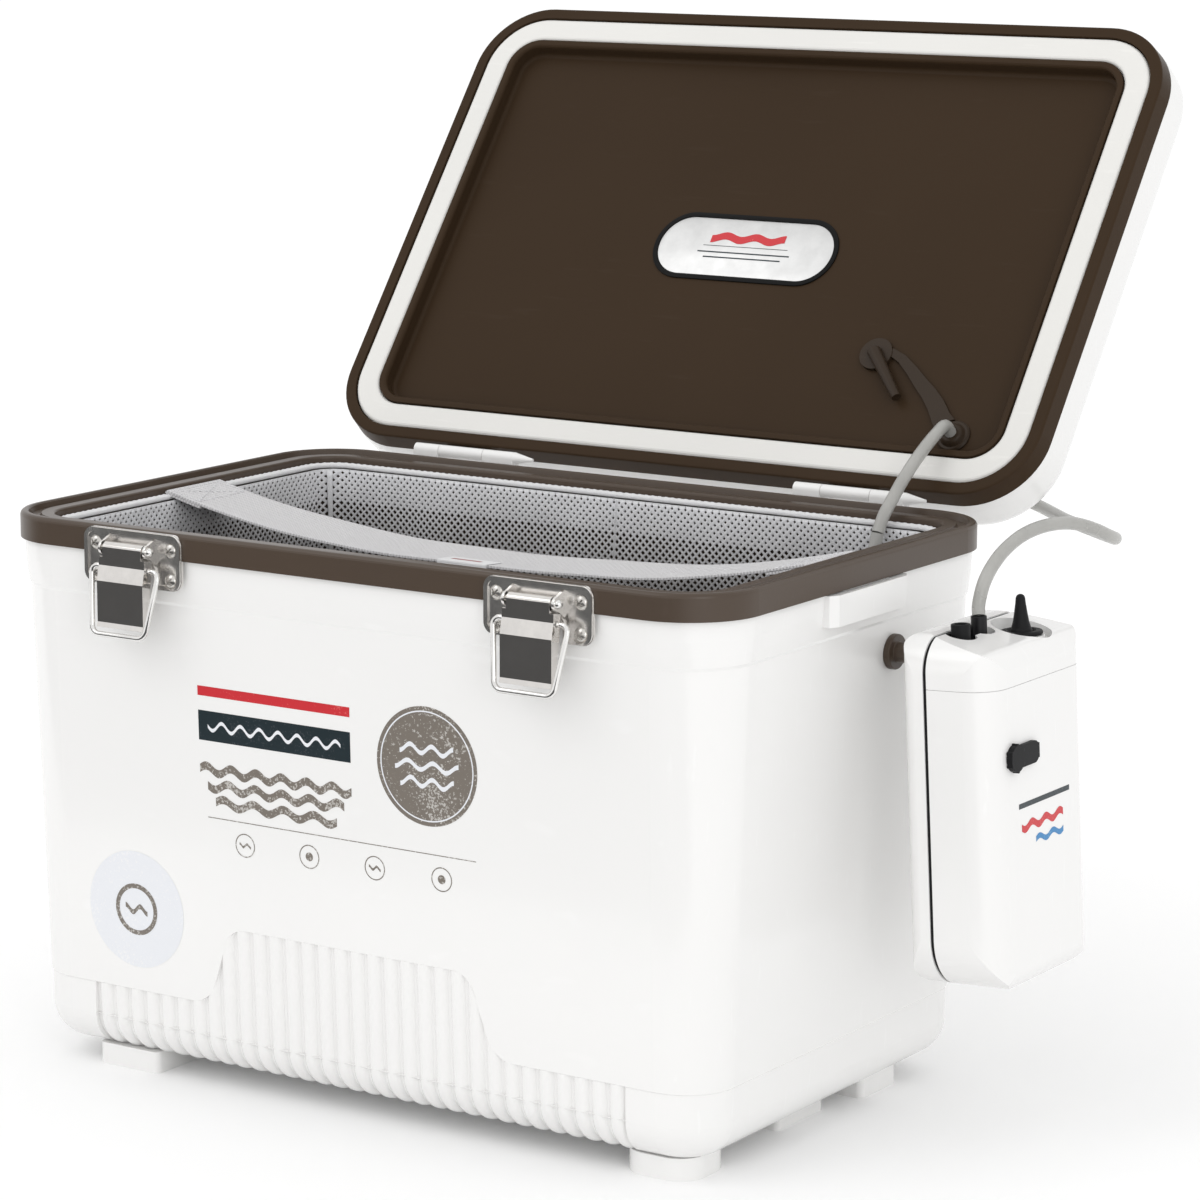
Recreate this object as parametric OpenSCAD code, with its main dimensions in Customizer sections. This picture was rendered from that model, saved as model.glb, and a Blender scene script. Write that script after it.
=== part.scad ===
// Insulated live-bait box with a hinged lid, a lift-out net liner and a clip-on air pump.
// Millimetres. Z = 0 is the floor under the feet, X runs along the box, -Y is the latch side.

/* [Box] */
// Length of the rim, along X
rim_length = 370; // [340:1:420]
// Depth of the rim, along Y
rim_depth = 236.4; // [210:0.2:280]
// Outer corner radius of the rim, seen from above
rim_corner = 33; // [32:0.5:36]
// Height of the rim above the floor
rim_top = 245; // [238:1:300]
// Height of the rim band
band_height = 11.5; // [9:0.5:14]
// Thickness of the moulded walls
wall = 2.6; // [2:0.1:3.2]
// Height of the feet
foot_height = 9; // [6:0.5:12]
// Radius of the fillet round the bottom
bottom_fillet = 16; // [12:0.5:18]
// Height of the cavity floor above the floor under the feet
cavity_floor = 34; // [30:1:45]

/* [Rib field] */
// Pitch of the moulded ribs on the front and the back
rib_pitch = 8.6; // [7:0.1:10]
// Number of ribs in a row
rib_count = 32; // [20:2:34]
// Depth of the grooves between the ribs
rib_depth = 2; // [1:0.1:2.4]
// Height of the rib field at its ends
field_low = 39.5; // [34:0.5:44]
// Height of the rib field in the middle
field_high = 75; // [60:1:100]

/* [Lid] */
// Angle to which the lid opens
lid_angle = 127; // [0:1:127]
// Height of the closed lid above its split plane
lid_height = 32.2; // [28:0.2:38]
// Depth of the recessed panel inside the lid
lid_recess = 8; // [5:0.5:9]
// Length of the plate on the recessed panel
plate_length = 99.2; // [60:0.2:140]
// Width of the plate on the recessed panel
plate_width = 36; // [24:1:50]

/* [Latches] */
// Distance from the middle of the box to each latch
latch_x = 103.6; // [70:0.1:115]
// Width of the latch plate
latch_width = 52.5; // [48:0.5:56]
// Length of the bail below its pivots
bail_length = 28.8; // [28.6:0.2:30]
// Diameter of the bail wire
bail_wire = 2.5; // [1.8:0.1:2.6]

/* [Net] */
// Height of the net's bottom above the floor
net_floor = 50; // [44:1:120]
// Thickness of the net
net_wall = 1; // [0.8:0.1:1.5]
// Width of the carrying strap
strap_width = 38; // [25:1:45]
// Thickness of the carrying strap
strap_thick = 1.4; // [1:0.1:1.8]

/* [Pump] */
// Width of the pump
pump_width = 84.5; // [76:0.5:90]
// Depth of the pump
pump_depth = 42.5; // [40:0.5:48]
// Length of the pump below its hanger
pump_drop = 131; // [110:1:135]
// Height of the pump above its hanger
pump_rise = 16; // [14:0.5:18]
// Lean of the pump away from the wall
pump_lean = 3.1; // [0:0.1:4]
// Outer diameter of the air hose
hose_d = 5.6; // [4:0.1:6]

/* [Hidden] */
$fn = 48;

// Box: every level is a rounded rectangle about the same corner centres, r mm beyond them.
cx = rim_length / 2 - rim_corner;
cy = rim_depth / 2 - rim_corner;
band_bottom = rim_top - band_height;
collar_low = band_bottom - 20.5;
r_collar = rim_corner - 1.9;
r_wall_top = rim_corner - 4.2;
r_wall_low = rim_corner - 9.5;
r_low = rim_corner - 10.1;
draft = atan((r_wall_top - r_wall_low) / (collar_low - field_low));
r_opening = rim_corner - 15;
r_cavity_top = rim_corner - 21;
r_cavity_low = rim_corner - 26.5;
ledge = rim_top - 7;
fit = 0.25;

// Rib field
rib_half = rib_pitch * rib_count / 2 + 0.8;
rib_r = 4.24;
rib_back = rib_depth + wall;
field_half = 62;
field_lean = 12.3;

// Lid: the closed lid's split plane, corner centres and hinge
lid_z = rim_top + 0.2;
lid_y = -2.2;
lcx = cx + 1;
lcy = cy + 3.2;
r_lid = 34;
r_shell = 35.4;
split = 9.5;
hinge_y = rim_depth / 2 + 6.4;
hinge_z = rim_top + 1.5;
knuckle_r = 3;
pin_r = 1.25;
hinge_starts = [-131.5, 76.5];
knuckles = [13.8, 25.4, 16.9, 10];
gasket_out = 28;
gasket_in = 15.7;
catch_height = 13.4;

// Hose grommet in the lid
grommet = [141, 90.4];
grommet_r = 7.9;
grommet_low = 4;
grommet_high = lid_height + 2;
stopper = [89, 53];

// Latch
pin_y = -rim_depth / 2 - 6;
pin_z = rim_top - 8;
plate_low = rim_top - 24.6;
plate_high = rim_top - 0.5;
plate_thick = 1.2;
screw_x = 20.2;
screw_z = [rim_top - 7.4, rim_top - 20.4];
bail_pivot = [-rim_depth / 2 - 6.45, rim_top - 16];
bail_half = 17.75;
bail_taper = 8;
bail_lean = 10.7;
lever_half = 12.4;
sheet = 1.1;

// Net
r_net_top = r_cavity_top - 0.8;
r_net_low = 5.5;
strap_end = rim_length / 2 - 17.5;
strap_sag = 17;
strap_high = ledge + 3.6;

// Pump
hanger = [rim_length / 2 + 22.5, 28.9, rim_top - 45];
seam = 11;
seal = 1.6;
cap_low = -5;
nozzle = [17, -4.5];
spare = [17, -20];
toggle = [26, 15];
port = [-26, -34];
port_hinge = -6.5;
collar_low_h = 11;
collar_high_h = 19.5;
top_flat = 8;
top_fall = 7.5;

// Air hose, sides of its section and the points of its free stretches
hose_sides = 10;
outer_points = [[222.5, 26, 225], [223, 29, 233], [224, 35, 240], [225, 44, 245.5], [227, 56, 250],
                [230, 70, 252], [233, 86, 251], [235.5, 101, 247], [236, 115, 242], [233, 128, 238.5],
                [225, 140, 236.5], [213, 151, 236], [200, 161.5, 236], [187, 172, 236], [175, 182.5, 236.5],
                [163.5, 191, 237.5], [152, 195, 239.5], [143.5, 190.5, 242.5]];
drop_points = [[140.9, 137.5, 275.5], [140.4, 128, 270.5], [139.6, 118.5, 264], [139, 109.5, 257],
               [138.8, 100.5, 249.5], [138.5, 94.2, 243.5]];
drop_end = [138.2, 90.2, 237];
tail_points = [[137.4, 88.2, 228], [136.2, 87.6, 216], [135, 86.4, 203], [134, 84.4, 189], [133.2, 82.8, 174],
               [132.6, 81.4, 159], [132.2, 80.4, 144], [132, 79.8, 129], [132, 79.6, 114], [132, 79.6, 101]];
stone = [132, 79.6];
stone_top = 88;

// ---- shared shapes ----

// The children's section, x mm beyond the corner centres, carried once round a rounded rectangle.
module loop(ax, ay) {
    for (k = [0 : 3])
        let (a = k % 2 == 0 ? ax : ay, b = k % 2 == 0 ? ay : ax)
            rotate(90 * k) translate([a, b, 0]) {
                rotate_extrude(angle = 90) children();
                rotate([90, 0, 0]) linear_extrude(2 * b) children();
            }
}

// Rectangle between two corners with its own radius at each corner, anticlockwise from the lower left.
module soft_rect(lo, hi, r) {
    polygon([[lo.x + r[0], lo.y], [hi.x - r[1], lo.y], [hi.x, lo.y + r[1]], [hi.x, hi.y - r[2]],
             [hi.x - r[2], hi.y], [lo.x + r[3], hi.y], [lo.x, hi.y - r[3]], [lo.x, lo.y + r[0]]]);
    translate([lo.x + r[0], lo.y + r[0]]) circle(r[0]);
    translate([hi.x - r[1], lo.y + r[1]]) circle(r[1]);
    translate([hi.x - r[2], hi.y - r[2]]) circle(r[2]);
    translate([lo.x + r[3], hi.y - r[3]]) circle(r[3]);
}

module soft_box(size, r) {
    linear_extrude(size.z) soft_rect([-size.x / 2, -size.y / 2], [size.x / 2, size.y / 2], [r, r, r, r]);
}

// Extrusions along X and along Y of a section drawn in (y, z) and in (x, z)
module along_x(x0, x1) translate([x0, 0, 0]) rotate([90, 0, 90]) linear_extrude(x1 - x0) children();
module along_y(y0, y1) translate([0, y1, 0]) rotate([90, 0, 0]) linear_extrude(y1 - y0) children();

function arc(c, r, a0, a1, n = 6) =
    [for (i = [0 : n]) let (a = a0 + (a1 - a0) * i / n) c + r * [cos(a), sin(a)]];

// Rings of a round tube, square to the path at every point, without twist from ring to ring.
function unit(v) = v / norm(v);
function square_to(v, t) = unit(v - (v * t) * t);
function directions(p, d0, d1) =
    [for (i = [0 : len(p) - 1]) i == 0 ? unit(d0) : i == len(p) - 1 ? unit(d1) : unit(p[i + 1] - p[i - 1])];
function normals(t, i, n) = i == len(t) ? [] : let (m = square_to(n, t[i])) concat([m], normals(t, i + 1, m));
module tube(p, d0, d1, d, sides) {
    t = directions(p, d0, d1);
    n = normals(t, 0, [1, 0.1, 0.05]);
    points = [for (i = [0 : len(p) - 1], k = [0 : sides - 1])
        let (a = 360 * k / sides) p[i] + d / 2 * (cos(a) * n[i] + sin(a) * cross(t[i], n[i]))];
    last = (len(p) - 1) * sides;
    polyhedron(points, concat(
        [[for (k = [0 : sides - 1]) sides - 1 - k]],
        [[for (k = [0 : sides - 1]) last + k]],
        [for (i = [0 : len(p) - 2], k = [0 : sides - 1])
            let (a = i * sides + k, b = i * sides + (k + 1) % sides) [a, b, b + sides]],
        [for (i = [0 : len(p) - 2], k = [0 : sides - 1])
            let (a = i * sides + k, b = i * sides + (k + 1) % sides) [a, b + sides, a + sides]]));
}

// ---- box ----

// Outside of the body below the rim band, moved in by t.
module body_outline(t) {
    intersection() {
        translate([0, foot_height + t]) square([2 * rim_corner, rim_top]);
        union() {
            polygon([[0, foot_height + bottom_fillet], [r_low - t, foot_height + bottom_fillet],
                     [r_low - t, field_low - 0.4], [r_wall_low - t, field_low + 0.2],
                     [r_wall_top - t, collar_low], [r_collar - 2.2 - t, collar_low + 0.4],
                     [r_collar - 1.5 - t, collar_low + 1.6], [r_collar - 0.9 - t, collar_low + 6],
                     [r_collar - 0.3 - t, collar_low + 12], [r_collar - t, collar_low + 18],
                     [r_collar - t, band_bottom + t], [0, band_bottom + t]]);
            translate([r_low - bottom_fillet, foot_height + bottom_fillet]) circle(bottom_fillet - t);
            translate([0, foot_height + t]) square([r_low - bottom_fillet, bottom_fillet]);
        }
    }
}

// Section of the ribbed wall: a backing strip, with half-round ribs in front of it when ribbed.
module comb(ribbed) {
    if (ribbed) {
        translate([rib_depth, -rib_half]) square([rib_back - rib_depth, 2 * rib_half]);
        for (i = [0 : rib_count - 1])
            translate([rib_r, rib_pitch * (i + 0.5 - rib_count / 2)]) intersection() {
                circle(rib_r, $fn = 32);
                translate([-2 * rib_r, -rib_r]) square([rib_r + rib_back, 2 * rib_r]);
            }
    } else {
        translate([-1.5, -rib_half]) square([rib_depth + 1.5, 2 * rib_half]);
    }
}

// The section carried down the front wall and round the bottom fillet.
module comb_sweep(ribbed) {
    z0 = foot_height + bottom_fillet;
    lean = atan((r_wall_low - r_low) / (field_low - z0));
    translate([0, -cy - r_low, z0]) rotate([lean, 0, 0]) linear_extrude(field_high - z0 + 4) rotate(90)
        comb(ribbed);
    translate([0, -cy - r_low + bottom_fillet, z0]) rotate([0, 90, 0]) rotate(-90) rotate_extrude(angle = 90)
        mirror([1, 0]) translate([-bottom_fillet, 0]) comb(ribbed);
}

// Outline of the rib field: low at its ends, high between two soft shoulders.
module field_region() {
    s = 90 - field_lean * 1.55;
    foot = field_half + (field_high - field_low) / tan(s);
    tl = 14 * tan(s / 2);
    th = 11 * tan(s / 2);
    low = arc([foot + tl, field_low + 14], 14, 270, 270 - s);
    high = arc([field_half - th, field_high - 11], 11, 90 - s, 90);
    half = concat([[rib_half, 0], [rib_half, field_low]], low, high);
    polygon(concat(half, [for (i = [len(half) - 1 : -1 : 0]) [-half[i].x, half[i].y]]));
}

module rib_field(ribbed) {
    intersection() {
        comb_sweep(ribbed);
        along_y(-2 * rim_depth, 0) field_region();
    }
}

module foot(x, y, size, r) translate([x, y, 0]) soft_box([size.x, size.y, foot_height + 0.6], r);

module body_shell() {
    color("#F3F2F0") {
        difference() {
            union() {
                loop(cx, cy) difference() {
                    body_outline(0);
                    body_outline(wall);
                    translate([0, foot_height + wall]) square([r_low - bottom_fillet, rim_top]);
                }
                translate([-cx, -cy, foot_height]) cube([2 * cx, 2 * cy, wall]);
            }
            rib_field(false);
            rotate(180) rib_field(false);
            pump_screw_hole(1.5);
        }
        rib_field(true);
        rotate(180) rib_field(true);
        foot(-126.5, -85.5, [33, 31], 3);
        foot(146, -82.5, [34, 33], 12);
        foot(146.5, 55, [33, 30], 3);
        foot(-146.5, 55, [33, 30], 3);
        for (s = [-1, 1]) {
            foot(s * 141, 0, [31, 38], 3);
            on_side(s) strap_lug();
        }
        for (x = hinge_starts) body_knuckles(x);
        for (s = [-1, 1], x = [-screw_x, screw_x]) screw_boss(s * latch_x + x);
    }
}

module on_side(s) mirror([s < 0 ? 1 : 0, 0, 0]) children();

// Raised lug on the end of the collar, with an upright slot behind its face.
module strap_lug() {
    x0 = cx + r_collar - 1.2;
    translate([0, 0, band_bottom - 13.5]) difference() {
        linear_extrude(13) polygon([[x0, -31.5], [x0 + 3.6, -31.5], [x0 + 6, -27.5], [x0 + 6, 27.5],
                                    [x0 + 3.6, 31.5], [x0, 31.5]]);
        translate([x0 + 1.4, -18.5, -1]) cube([2.6, 37, 20]);
    }
}

module screw_boss(x) {
    translate([x, -rim_depth / 2, screw_z[1]]) rotate([-90, 0, 0]) difference() {
        cylinder(r = 3.6, h = 3.4);
        translate([0, 0, -1]) cylinder(r = 1.25, h = 6);
    }
}

// ---- hinges ----

module knuckle(x, length) {
    translate([x, hinge_y, hinge_z]) rotate([0, 90, 0]) difference() {
        cylinder(r = knuckle_r, h = length);
        translate([0, 0, -1]) cylinder(r = pin_r + 0.05, h = length + 2);
    }
}

// The outer knuckles stand on lugs behind the rim; the last one ends in a tapered boss.
module body_knuckles(x) {
    last = x + knuckles[0] + knuckles[1];
    y0 = cy + r_collar - 1.2;
    for (k = [[x, knuckles[0]], [last, knuckles[2]]]) {
        knuckle(k[0], k[1]);
        difference() {
            along_x(k[0], k[0] + k[1]) polygon([
                [y0, band_bottom - 16], [y0 + 3.6, band_bottom - 16], [hinge_y + knuckle_r, rim_top - 9],
                [hinge_y + knuckle_r, hinge_z], [hinge_y - knuckle_r, hinge_z],
                [hinge_y - knuckle_r, rim_top - 2], [rim_depth / 2 + 0.3, rim_top - 6],
                [rim_depth / 2 + 0.3, band_bottom - 0.3], [y0, band_bottom - 0.3]]);
            translate([k[0] - 1, hinge_y, hinge_z]) rotate([0, 90, 0])
                cylinder(r = pin_r + 0.05, h = k[1] + 2);
        }
    }
    translate([last + knuckles[2], hinge_y, hinge_z]) rotate([0, 90, 0])
        cylinder(r1 = knuckle_r, r2 = 0.8, h = knuckles[3]);
}

module lid_knuckle(x) {
    x0 = x + knuckles[0] + 0.3;
    length = knuckles[1] - 0.6;
    knuckle(x0, length);
    difference() {
        along_x(x0, x0 + length) polygon([
            [hinge_y - knuckle_r, hinge_z], [hinge_y - 1, hinge_z + 2.4], [hinge_y - 2, hinge_z + split + 4],
            [hinge_y - 5.4, hinge_z + split + 4], [hinge_y - 5.4, hinge_z + split - 1.2],
            [hinge_y - 3.2, hinge_z + split - 1.2]]);
        translate([x0 - 1, hinge_y, hinge_z]) rotate([0, 90, 0]) cylinder(r = pin_r + 0.05, h = length + 2);
    }
}

module hinge_pins() {
    color("#B9B9B6") for (x = hinge_starts)
        translate([x + 1.5, hinge_y, hinge_z]) rotate([0, 90, 0])
            cylinder(r = pin_r, h = knuckles[0] + knuckles[1] + knuckles[2] - 1.5);
}

// ---- liner with its rim, and the foam between it and the body ----

module body_foam() {
    color("#EFE3B4") difference() {
        union() {
            loop(cx, cy) difference() {
                body_outline(wall + fit);
                translate([0, cavity_floor - wall]) square([r_cavity_low + wall + fit, rim_top]);
                polygon([[0, cavity_floor], [r_cavity_low + wall + fit, cavity_floor],
                         [r_cavity_top + wall + fit, ledge - wall - 1], [60, ledge - wall - 1],
                         [60, rim_top + 9], [0, rim_top + 9]]);
                translate([0, foot_height]) square([60, wall]);
            }
            translate([-cx, -cy, foot_height + wall])
                cube([2 * cx, 2 * cy, cavity_floor - 2 * wall - foot_height]);
        }
        for (a = [0, 180]) rotate(a) translate([-rim_length, -cy - r_low - 4, 0]) {
            cube([2 * rim_length, rib_back + 4.6, field_high + 6]);
            cube([2 * rim_length, bottom_fillet + 4.4, foot_height + bottom_fillet + 1]);
        }
        pump_screw_hole(2);
    }
}

module tub_liner() {
    z = rim_top;
    color("#4A3C30") difference() {
        union() {
            loop(cx, cy) polygon(concat(
                arc([r_cavity_low - 5, cavity_floor + 5], 5, 270, 360),
                [[r_cavity_top, ledge], [r_opening, ledge]],
                arc([r_opening + 1.2, z - 2.8], 1.2, 180, 90, 3),
                [[r_opening + 5.8, z - 1.6], [r_opening + 6.6, z - 2.8], [r_opening + 10.6, z - 2.8],
                 [r_opening + 11.4, z - 0.6], [r_opening + 12, z]],
                arc([rim_corner - 2, z - 2], 2, 90, 0, 4),
                [[rim_corner, band_bottom], [rim_corner - wall, band_bottom], [rim_corner - wall, z - 5.6],
                 [r_opening + wall, z - 5.6], [r_opening + wall, ledge - wall],
                 [r_cavity_top + wall, ledge - wall]],
                arc([r_cavity_low - 5, cavity_floor + 5], 5 + wall, 360, 270),
                [[0, cavity_floor - wall], [0, cavity_floor]]));
            translate([-cx, -cy, cavity_floor - wall]) cube([2 * cx, 2 * cy, wall]);
        }
        for (s = [-1, 1], x = [-screw_x, screw_x])
            translate([s * latch_x + x, -rim_depth / 2 - 1, screw_z[0]]) rotate([-90, 0, 0])
                cylinder(r = 1.25, h = wall + 2);
    }
}

// ---- lid ----

// Places what is drawn on the closed lid at the angle to which the lid is open.
module on_lid() {
    translate([0, hinge_y, hinge_z]) rotate([-lid_angle, 0, 0])
        translate([0, lid_y - hinge_y, lid_z - hinge_z])
        children();
}
function lid_point(p) =
    let (y = p.y + lid_y - hinge_y, z = p.z + lid_z - hinge_z)
        [p.x, hinge_y + y * cos(lid_angle) + z * sin(lid_angle),
         hinge_z - y * sin(lid_angle) + z * cos(lid_angle)];
lid_up = [0, sin(lid_angle), cos(lid_angle)];

// Outside of the lid's shell, moved in by t.
module lid_outline(t) {
    intersection() {
        translate([0, split - 1]) square([60, lid_height - t - split + 1]);
        union() {
            polygon([[0, split], [r_shell - 0.4 - t, split], [r_shell - t, split + 4],
                     [r_shell - t, lid_height - 9], [r_shell - 9, lid_height - t], [0, lid_height - t]]);
            translate([r_shell - 9, lid_height - 9]) circle(9 - t);
        }
    }
}

module hinge_relief() {
    for (x = hinge_starts, k = [[0, knuckles[0]], [knuckles[0] + knuckles[1], knuckles[2] + knuckles[3]]])
        translate([x + k[0] - 0.4, hinge_y - lid_y, hinge_z - lid_z]) rotate([0, 90, 0])
            cylinder(r = knuckle_r + 0.6, h = k[1] + 0.8);
}

module lid_knuckles() {
    translate([0, -lid_y, -lid_z]) for (x = hinge_starts) lid_knuckle(x);
}

// Groove in the front of the lid that a bail hooks into.
module catch_groove(x) {
    translate([x - 23, -lcy - r_shell - 3, catch_height - 2.2]) cube([46, 7.5, 4.4]);
}

module grommet_bore() translate([grommet.x, grommet.y, -5]) cylinder(r = grommet_r - 2.4, h = 60);

module lid_shell() {
    color("#F3F2F0") on_lid() {
        difference() {
            union() {
                loop(lcx, lcy) difference() {
                    lid_outline(0);
                    lid_outline(wall);
                    translate([0, split - 1]) square([r_shell - wall - 0.6, 4]);
                }
                translate([-lcx, -lcy, lid_height - wall]) cube([2 * lcx, 2 * lcy, wall]);
                for (s = [-1, 1]) translate([s * latch_x - 25, -lcy - r_shell + 1, catch_height - 3.4])
                    cube([50, 7, 7.6]);
            }
            for (s = [-1, 1]) catch_groove(s * latch_x);
            hinge_relief();
            grommet_bore();
        }
        lid_knuckles();
    }
}

module lid_foam() {
    color("#EFE3B4") on_lid() difference() {
        union() {
            loop(lcx, lcy) difference() {
                lid_outline(wall + fit);
                square([60, lid_recess + 2.4]);
                translate([r_shell - 9, 0]) square([20, lid_height]);
            }
            translate([-lcx, -lcy, lid_recess + 2.4])
                cube([2 * lcx, 2 * lcy, lid_height - wall - fit - lid_recess - 2.4]);
        }
        grommet_bore();
    }
}

module lid_liner() {
    d = lid_recess;
    color("#4A3C30") on_lid() difference() {
        union() {
            loop(lcx, lcy) polygon(concat(
                [[0, d]], arc([10, d - 1.8], 1.8, 90, 10, 3), arc([13.6, 1.8], 1.8, 190, 270, 3),
                [[gasket_in - 0.4, 0], [gasket_in - 0.4, 3.6],
                 [gasket_out + 0.4, 3.6], [gasket_out + 0.4, 0]],
                arc([r_lid - 1, 1], 1, 270, 360, 3),
                [[r_shell - 0.5, split], [r_shell - wall - 0.6, split], [r_lid - wall - 0.4, 6], [14.6, 6],
                 [13.4, d + 1.4], [12.4, d + 2.4], [0, d + 2.4]]));
            translate([-lcx, -lcy, d]) cube([2 * lcx, 2 * lcy, 2.4]);
        }
        hinge_relief();
        grommet_bore();
    }
}

module lid_gasket() {
    color("#ECEAE4") on_lid() loop(lcx, lcy) polygon(concat(
        [[gasket_in, 3.6], [gasket_in, 1.6]], arc([gasket_in + 2, 2.05], 2, 190, 260, 3),
        arc([gasket_out - 2, 2.05], 2, 280, 350, 3), [[gasket_out, 1.6], [gasket_out, 3.6]]));
}

// Bare plate with round ends in a raised frame, stuck to the recessed panel.
module lid_label_plate() {
    color("#E6E6E4") on_lid() translate([0, 2.5, lid_recess - 0.5]) {
        soft_box([plate_length - 5, plate_width - 5, 0.5], plate_width / 2 - 2.6);
        translate([0, 0, -0.3]) difference() {
            soft_box([plate_length, plate_width, 0.8], plate_width / 2 - 0.1);
            translate([0, 0, -1]) soft_box([plate_length - 4.8, plate_width - 4.8, 3], plate_width / 2 - 2.5);
        }
    }
}

module hose_grommet() {
    color("#3B3028") on_lid() translate([grommet.x, grommet.y, 0]) rotate_extrude() polygon([
        [0, grommet_low], [4.2, grommet_low], [5, grommet_low + 0.8], [6, lid_recess - 1.6],
        [grommet_r - 0.8, lid_recess - 1.6], [grommet_r, lid_recess - 0.8], [grommet_r, lid_recess],
        [grommet_r - 2.5, lid_recess], [grommet_r - 2.5, lid_height], [grommet_r, lid_height],
        [grommet_r, lid_height + 0.6], [5, grommet_high], [0, grommet_high]]);
}

// Stopper on its tether, folded back to lie on the recessed panel beside the grommet.
module grommet_stopper() {
    z = lid_recess;
    path = [[96, 51], [103, 54.5], [110, 60], [116, 65.5], [122, 70.5], [127.5, 76], [132.5, 82.5],
            [137, 87]];
    last = len(path) - 1;
    side = [for (i = [0 : last]) let (d = unit(path[min(i + 1, last)] - path[max(i - 1, 0)])) [-d.y, d.x]];
    color("#3B3028") on_lid() {
        translate([stopper.x, stopper.y, z]) mirror([0, 0, 1]) cylinder(r = 8, h = 2.2);
        translate([stopper.x, stopper.y, z - 2.2]) mirror([0, 0, 1]) cylinder(r = 3.4, h = 2);
        translate([stopper.x, stopper.y, z - 4.4]) rotate([0, 90, 49])
            cylinder(r1 = 3.2, r2 = 2.2, h = 30);
        difference() {
            translate([0, 0, z - 1.8]) linear_extrude(1.8) polygon(concat(
                [for (i = [0 : last]) path[i] + (1.8 + 0.45 * i) * side[i]],
                [for (i = [last : -1 : 0]) path[i] - (1.8 + 0.45 * i) * side[i]]));
            translate([grommet.x, grommet.y, 0]) cylinder(r = grommet_r + 0.05, h = 20);
        }
    }
}

// ---- latches ----

// Outline of the latch plate, moved in by t: a rounded plate on two legs with an arch between them.
module plate_outline(t) {
    difference() {
        soft_rect([-latch_width / 2 + t, plate_low + t], [latch_width / 2 - t, plate_high - t],
                  [5 - t, 5 - t, 5 - t, 5 - t]);
        soft_rect([-12 - t, plate_low - 10], [12 + t, plate_low + 11 + t], [2, 2, 7 + t, 7 + t]);
    }
}

module latch_plate(x) {
    y = -rim_depth / 2;
    color("#C9C9C7") translate([x, 0, 0]) {
        difference() {
            union() {
                along_y(y - plate_thick, y) plate_outline(0);
                along_y(y - plate_thick - 0.9, y - plate_thick) difference() {
                    plate_outline(0.3);
                    plate_outline(2.2);
                    for (x = [-screw_x, screw_x], z = screw_z) translate([x, z]) circle(3.4);
                }
                for (s = [-1, 1]) along_x(s * 12 - 0.6, s * 12 + 0.6) difference() {
                    union() {
                        polygon([[y - plate_thick, pin_z + 5], [pin_y, pin_z + 3], [pin_y, pin_z - 3],
                                 [y - plate_thick, pin_z - 6]]);
                        translate([pin_y, pin_z]) circle(3);
                    }
                    translate([pin_y, pin_z]) circle(1.35);
                }
            }
            for (s = [-1, 1], z = screw_z) translate([s * screw_x, y + 1, z]) rotate([90, 0, 0])
                cylinder(r = 1.6, h = 6);
        }
    }
}

module latch_screw(x, z) {
    translate([x, -rim_depth / 2 - plate_thick, z]) rotate([90, 0, 0]) difference() {
        union() {
            rotate_extrude() polygon(concat([[0, 0]], arc([0, -2.55], 4.05, 39.2, 90, 5)));
            mirror([0, 0, 1]) cylinder(r = 1.2, h = plate_thick + 2);
        }
        for (a = [45, 135]) rotate(a) translate([-1.9, -0.35, 0.7]) cube([3.8, 0.7, 3]);
    }
}

module latch_screws() {
    color("#D2D2D0") for (s = [-1, 1], x = [-screw_x, screw_x], z = screw_z) latch_screw(s * latch_x + x, z);
}

module latch_pins() {
    color("#D2D2D0") for (s = [-1, 1]) translate([s * latch_x, pin_y, pin_z]) rotate([0, 90, 0]) {
        translate([0, 0, -13]) cylinder(r = 1.3, h = 26);
        for (e = [0, 1]) mirror([0, 0, e]) translate([0, 0, 12.6]) rotate_extrude()
            polygon(concat([[0, 0]], arc([0, 0], 2, 0, 90, 5)));
    }
}

// Side view of the lever's sheet, in (y, z): from the barrel down, out at the sloped band, down to the lip.
module lever_sheet(t) {
    p = [[-2.7, 0.6], [-2.9, -7.2], [-4.3, -13.8], [-4.3, -31.4], [-5, -33.4]];
    q = [for (i = [0 : len(p) - 1]) let (a = p[max(i - 1, 0)], b = p[min(i + 1, len(p) - 1)], d = unit(b - a))
        p[i] + t * [-d.y, d.x]];
    polygon(concat(p, [for (i = [len(q) - 1 : -1 : 0]) q[i]]));
}

module lever(x) {
    color("#C4C4C2") translate([x, pin_y, pin_z]) difference() {
        union() {
            difference() {
                union() {
                    along_x(-10.4, 10.4) circle(2.7);
                    along_x(-10.4, 10.4) translate([-2.7, -3.5]) square([1.4, 3.5]);
                }
                translate([-20, 0, 0]) rotate([0, 90, 0]) cylinder(r = 1.35, h = 40);
            }
            difference() {
                along_x(-lever_half, lever_half) lever_sheet(sheet);
                for (s = [-1, 1]) translate([s * 12.2 - 1.8, -8, -3.6]) cube([3.6, 10, 8]);
            }
            for (s = [-1, 1]) translate([s * (lever_half - sheet / 2), 0, 0]) along_x(-sheet / 2, sheet / 2)
                polygon([[-2.4, -3.6], [2.2, -4.4], [1.6, -11.5], [0.4, -20], [-2.4, -32.4], [-3.8, -32],
                         [-3.8, -14], [-2.5, -7.4]]);
        }
        for (s = [-1, 1])
            translate([s * 12.2 - 1.8, bail_pivot.x - pin_y, bail_pivot.y - pin_z]) rotate([0, 90, 0])
                cylinder(r = bail_wire / 2 + 0.05, h = 3.6);
    }
}

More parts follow.
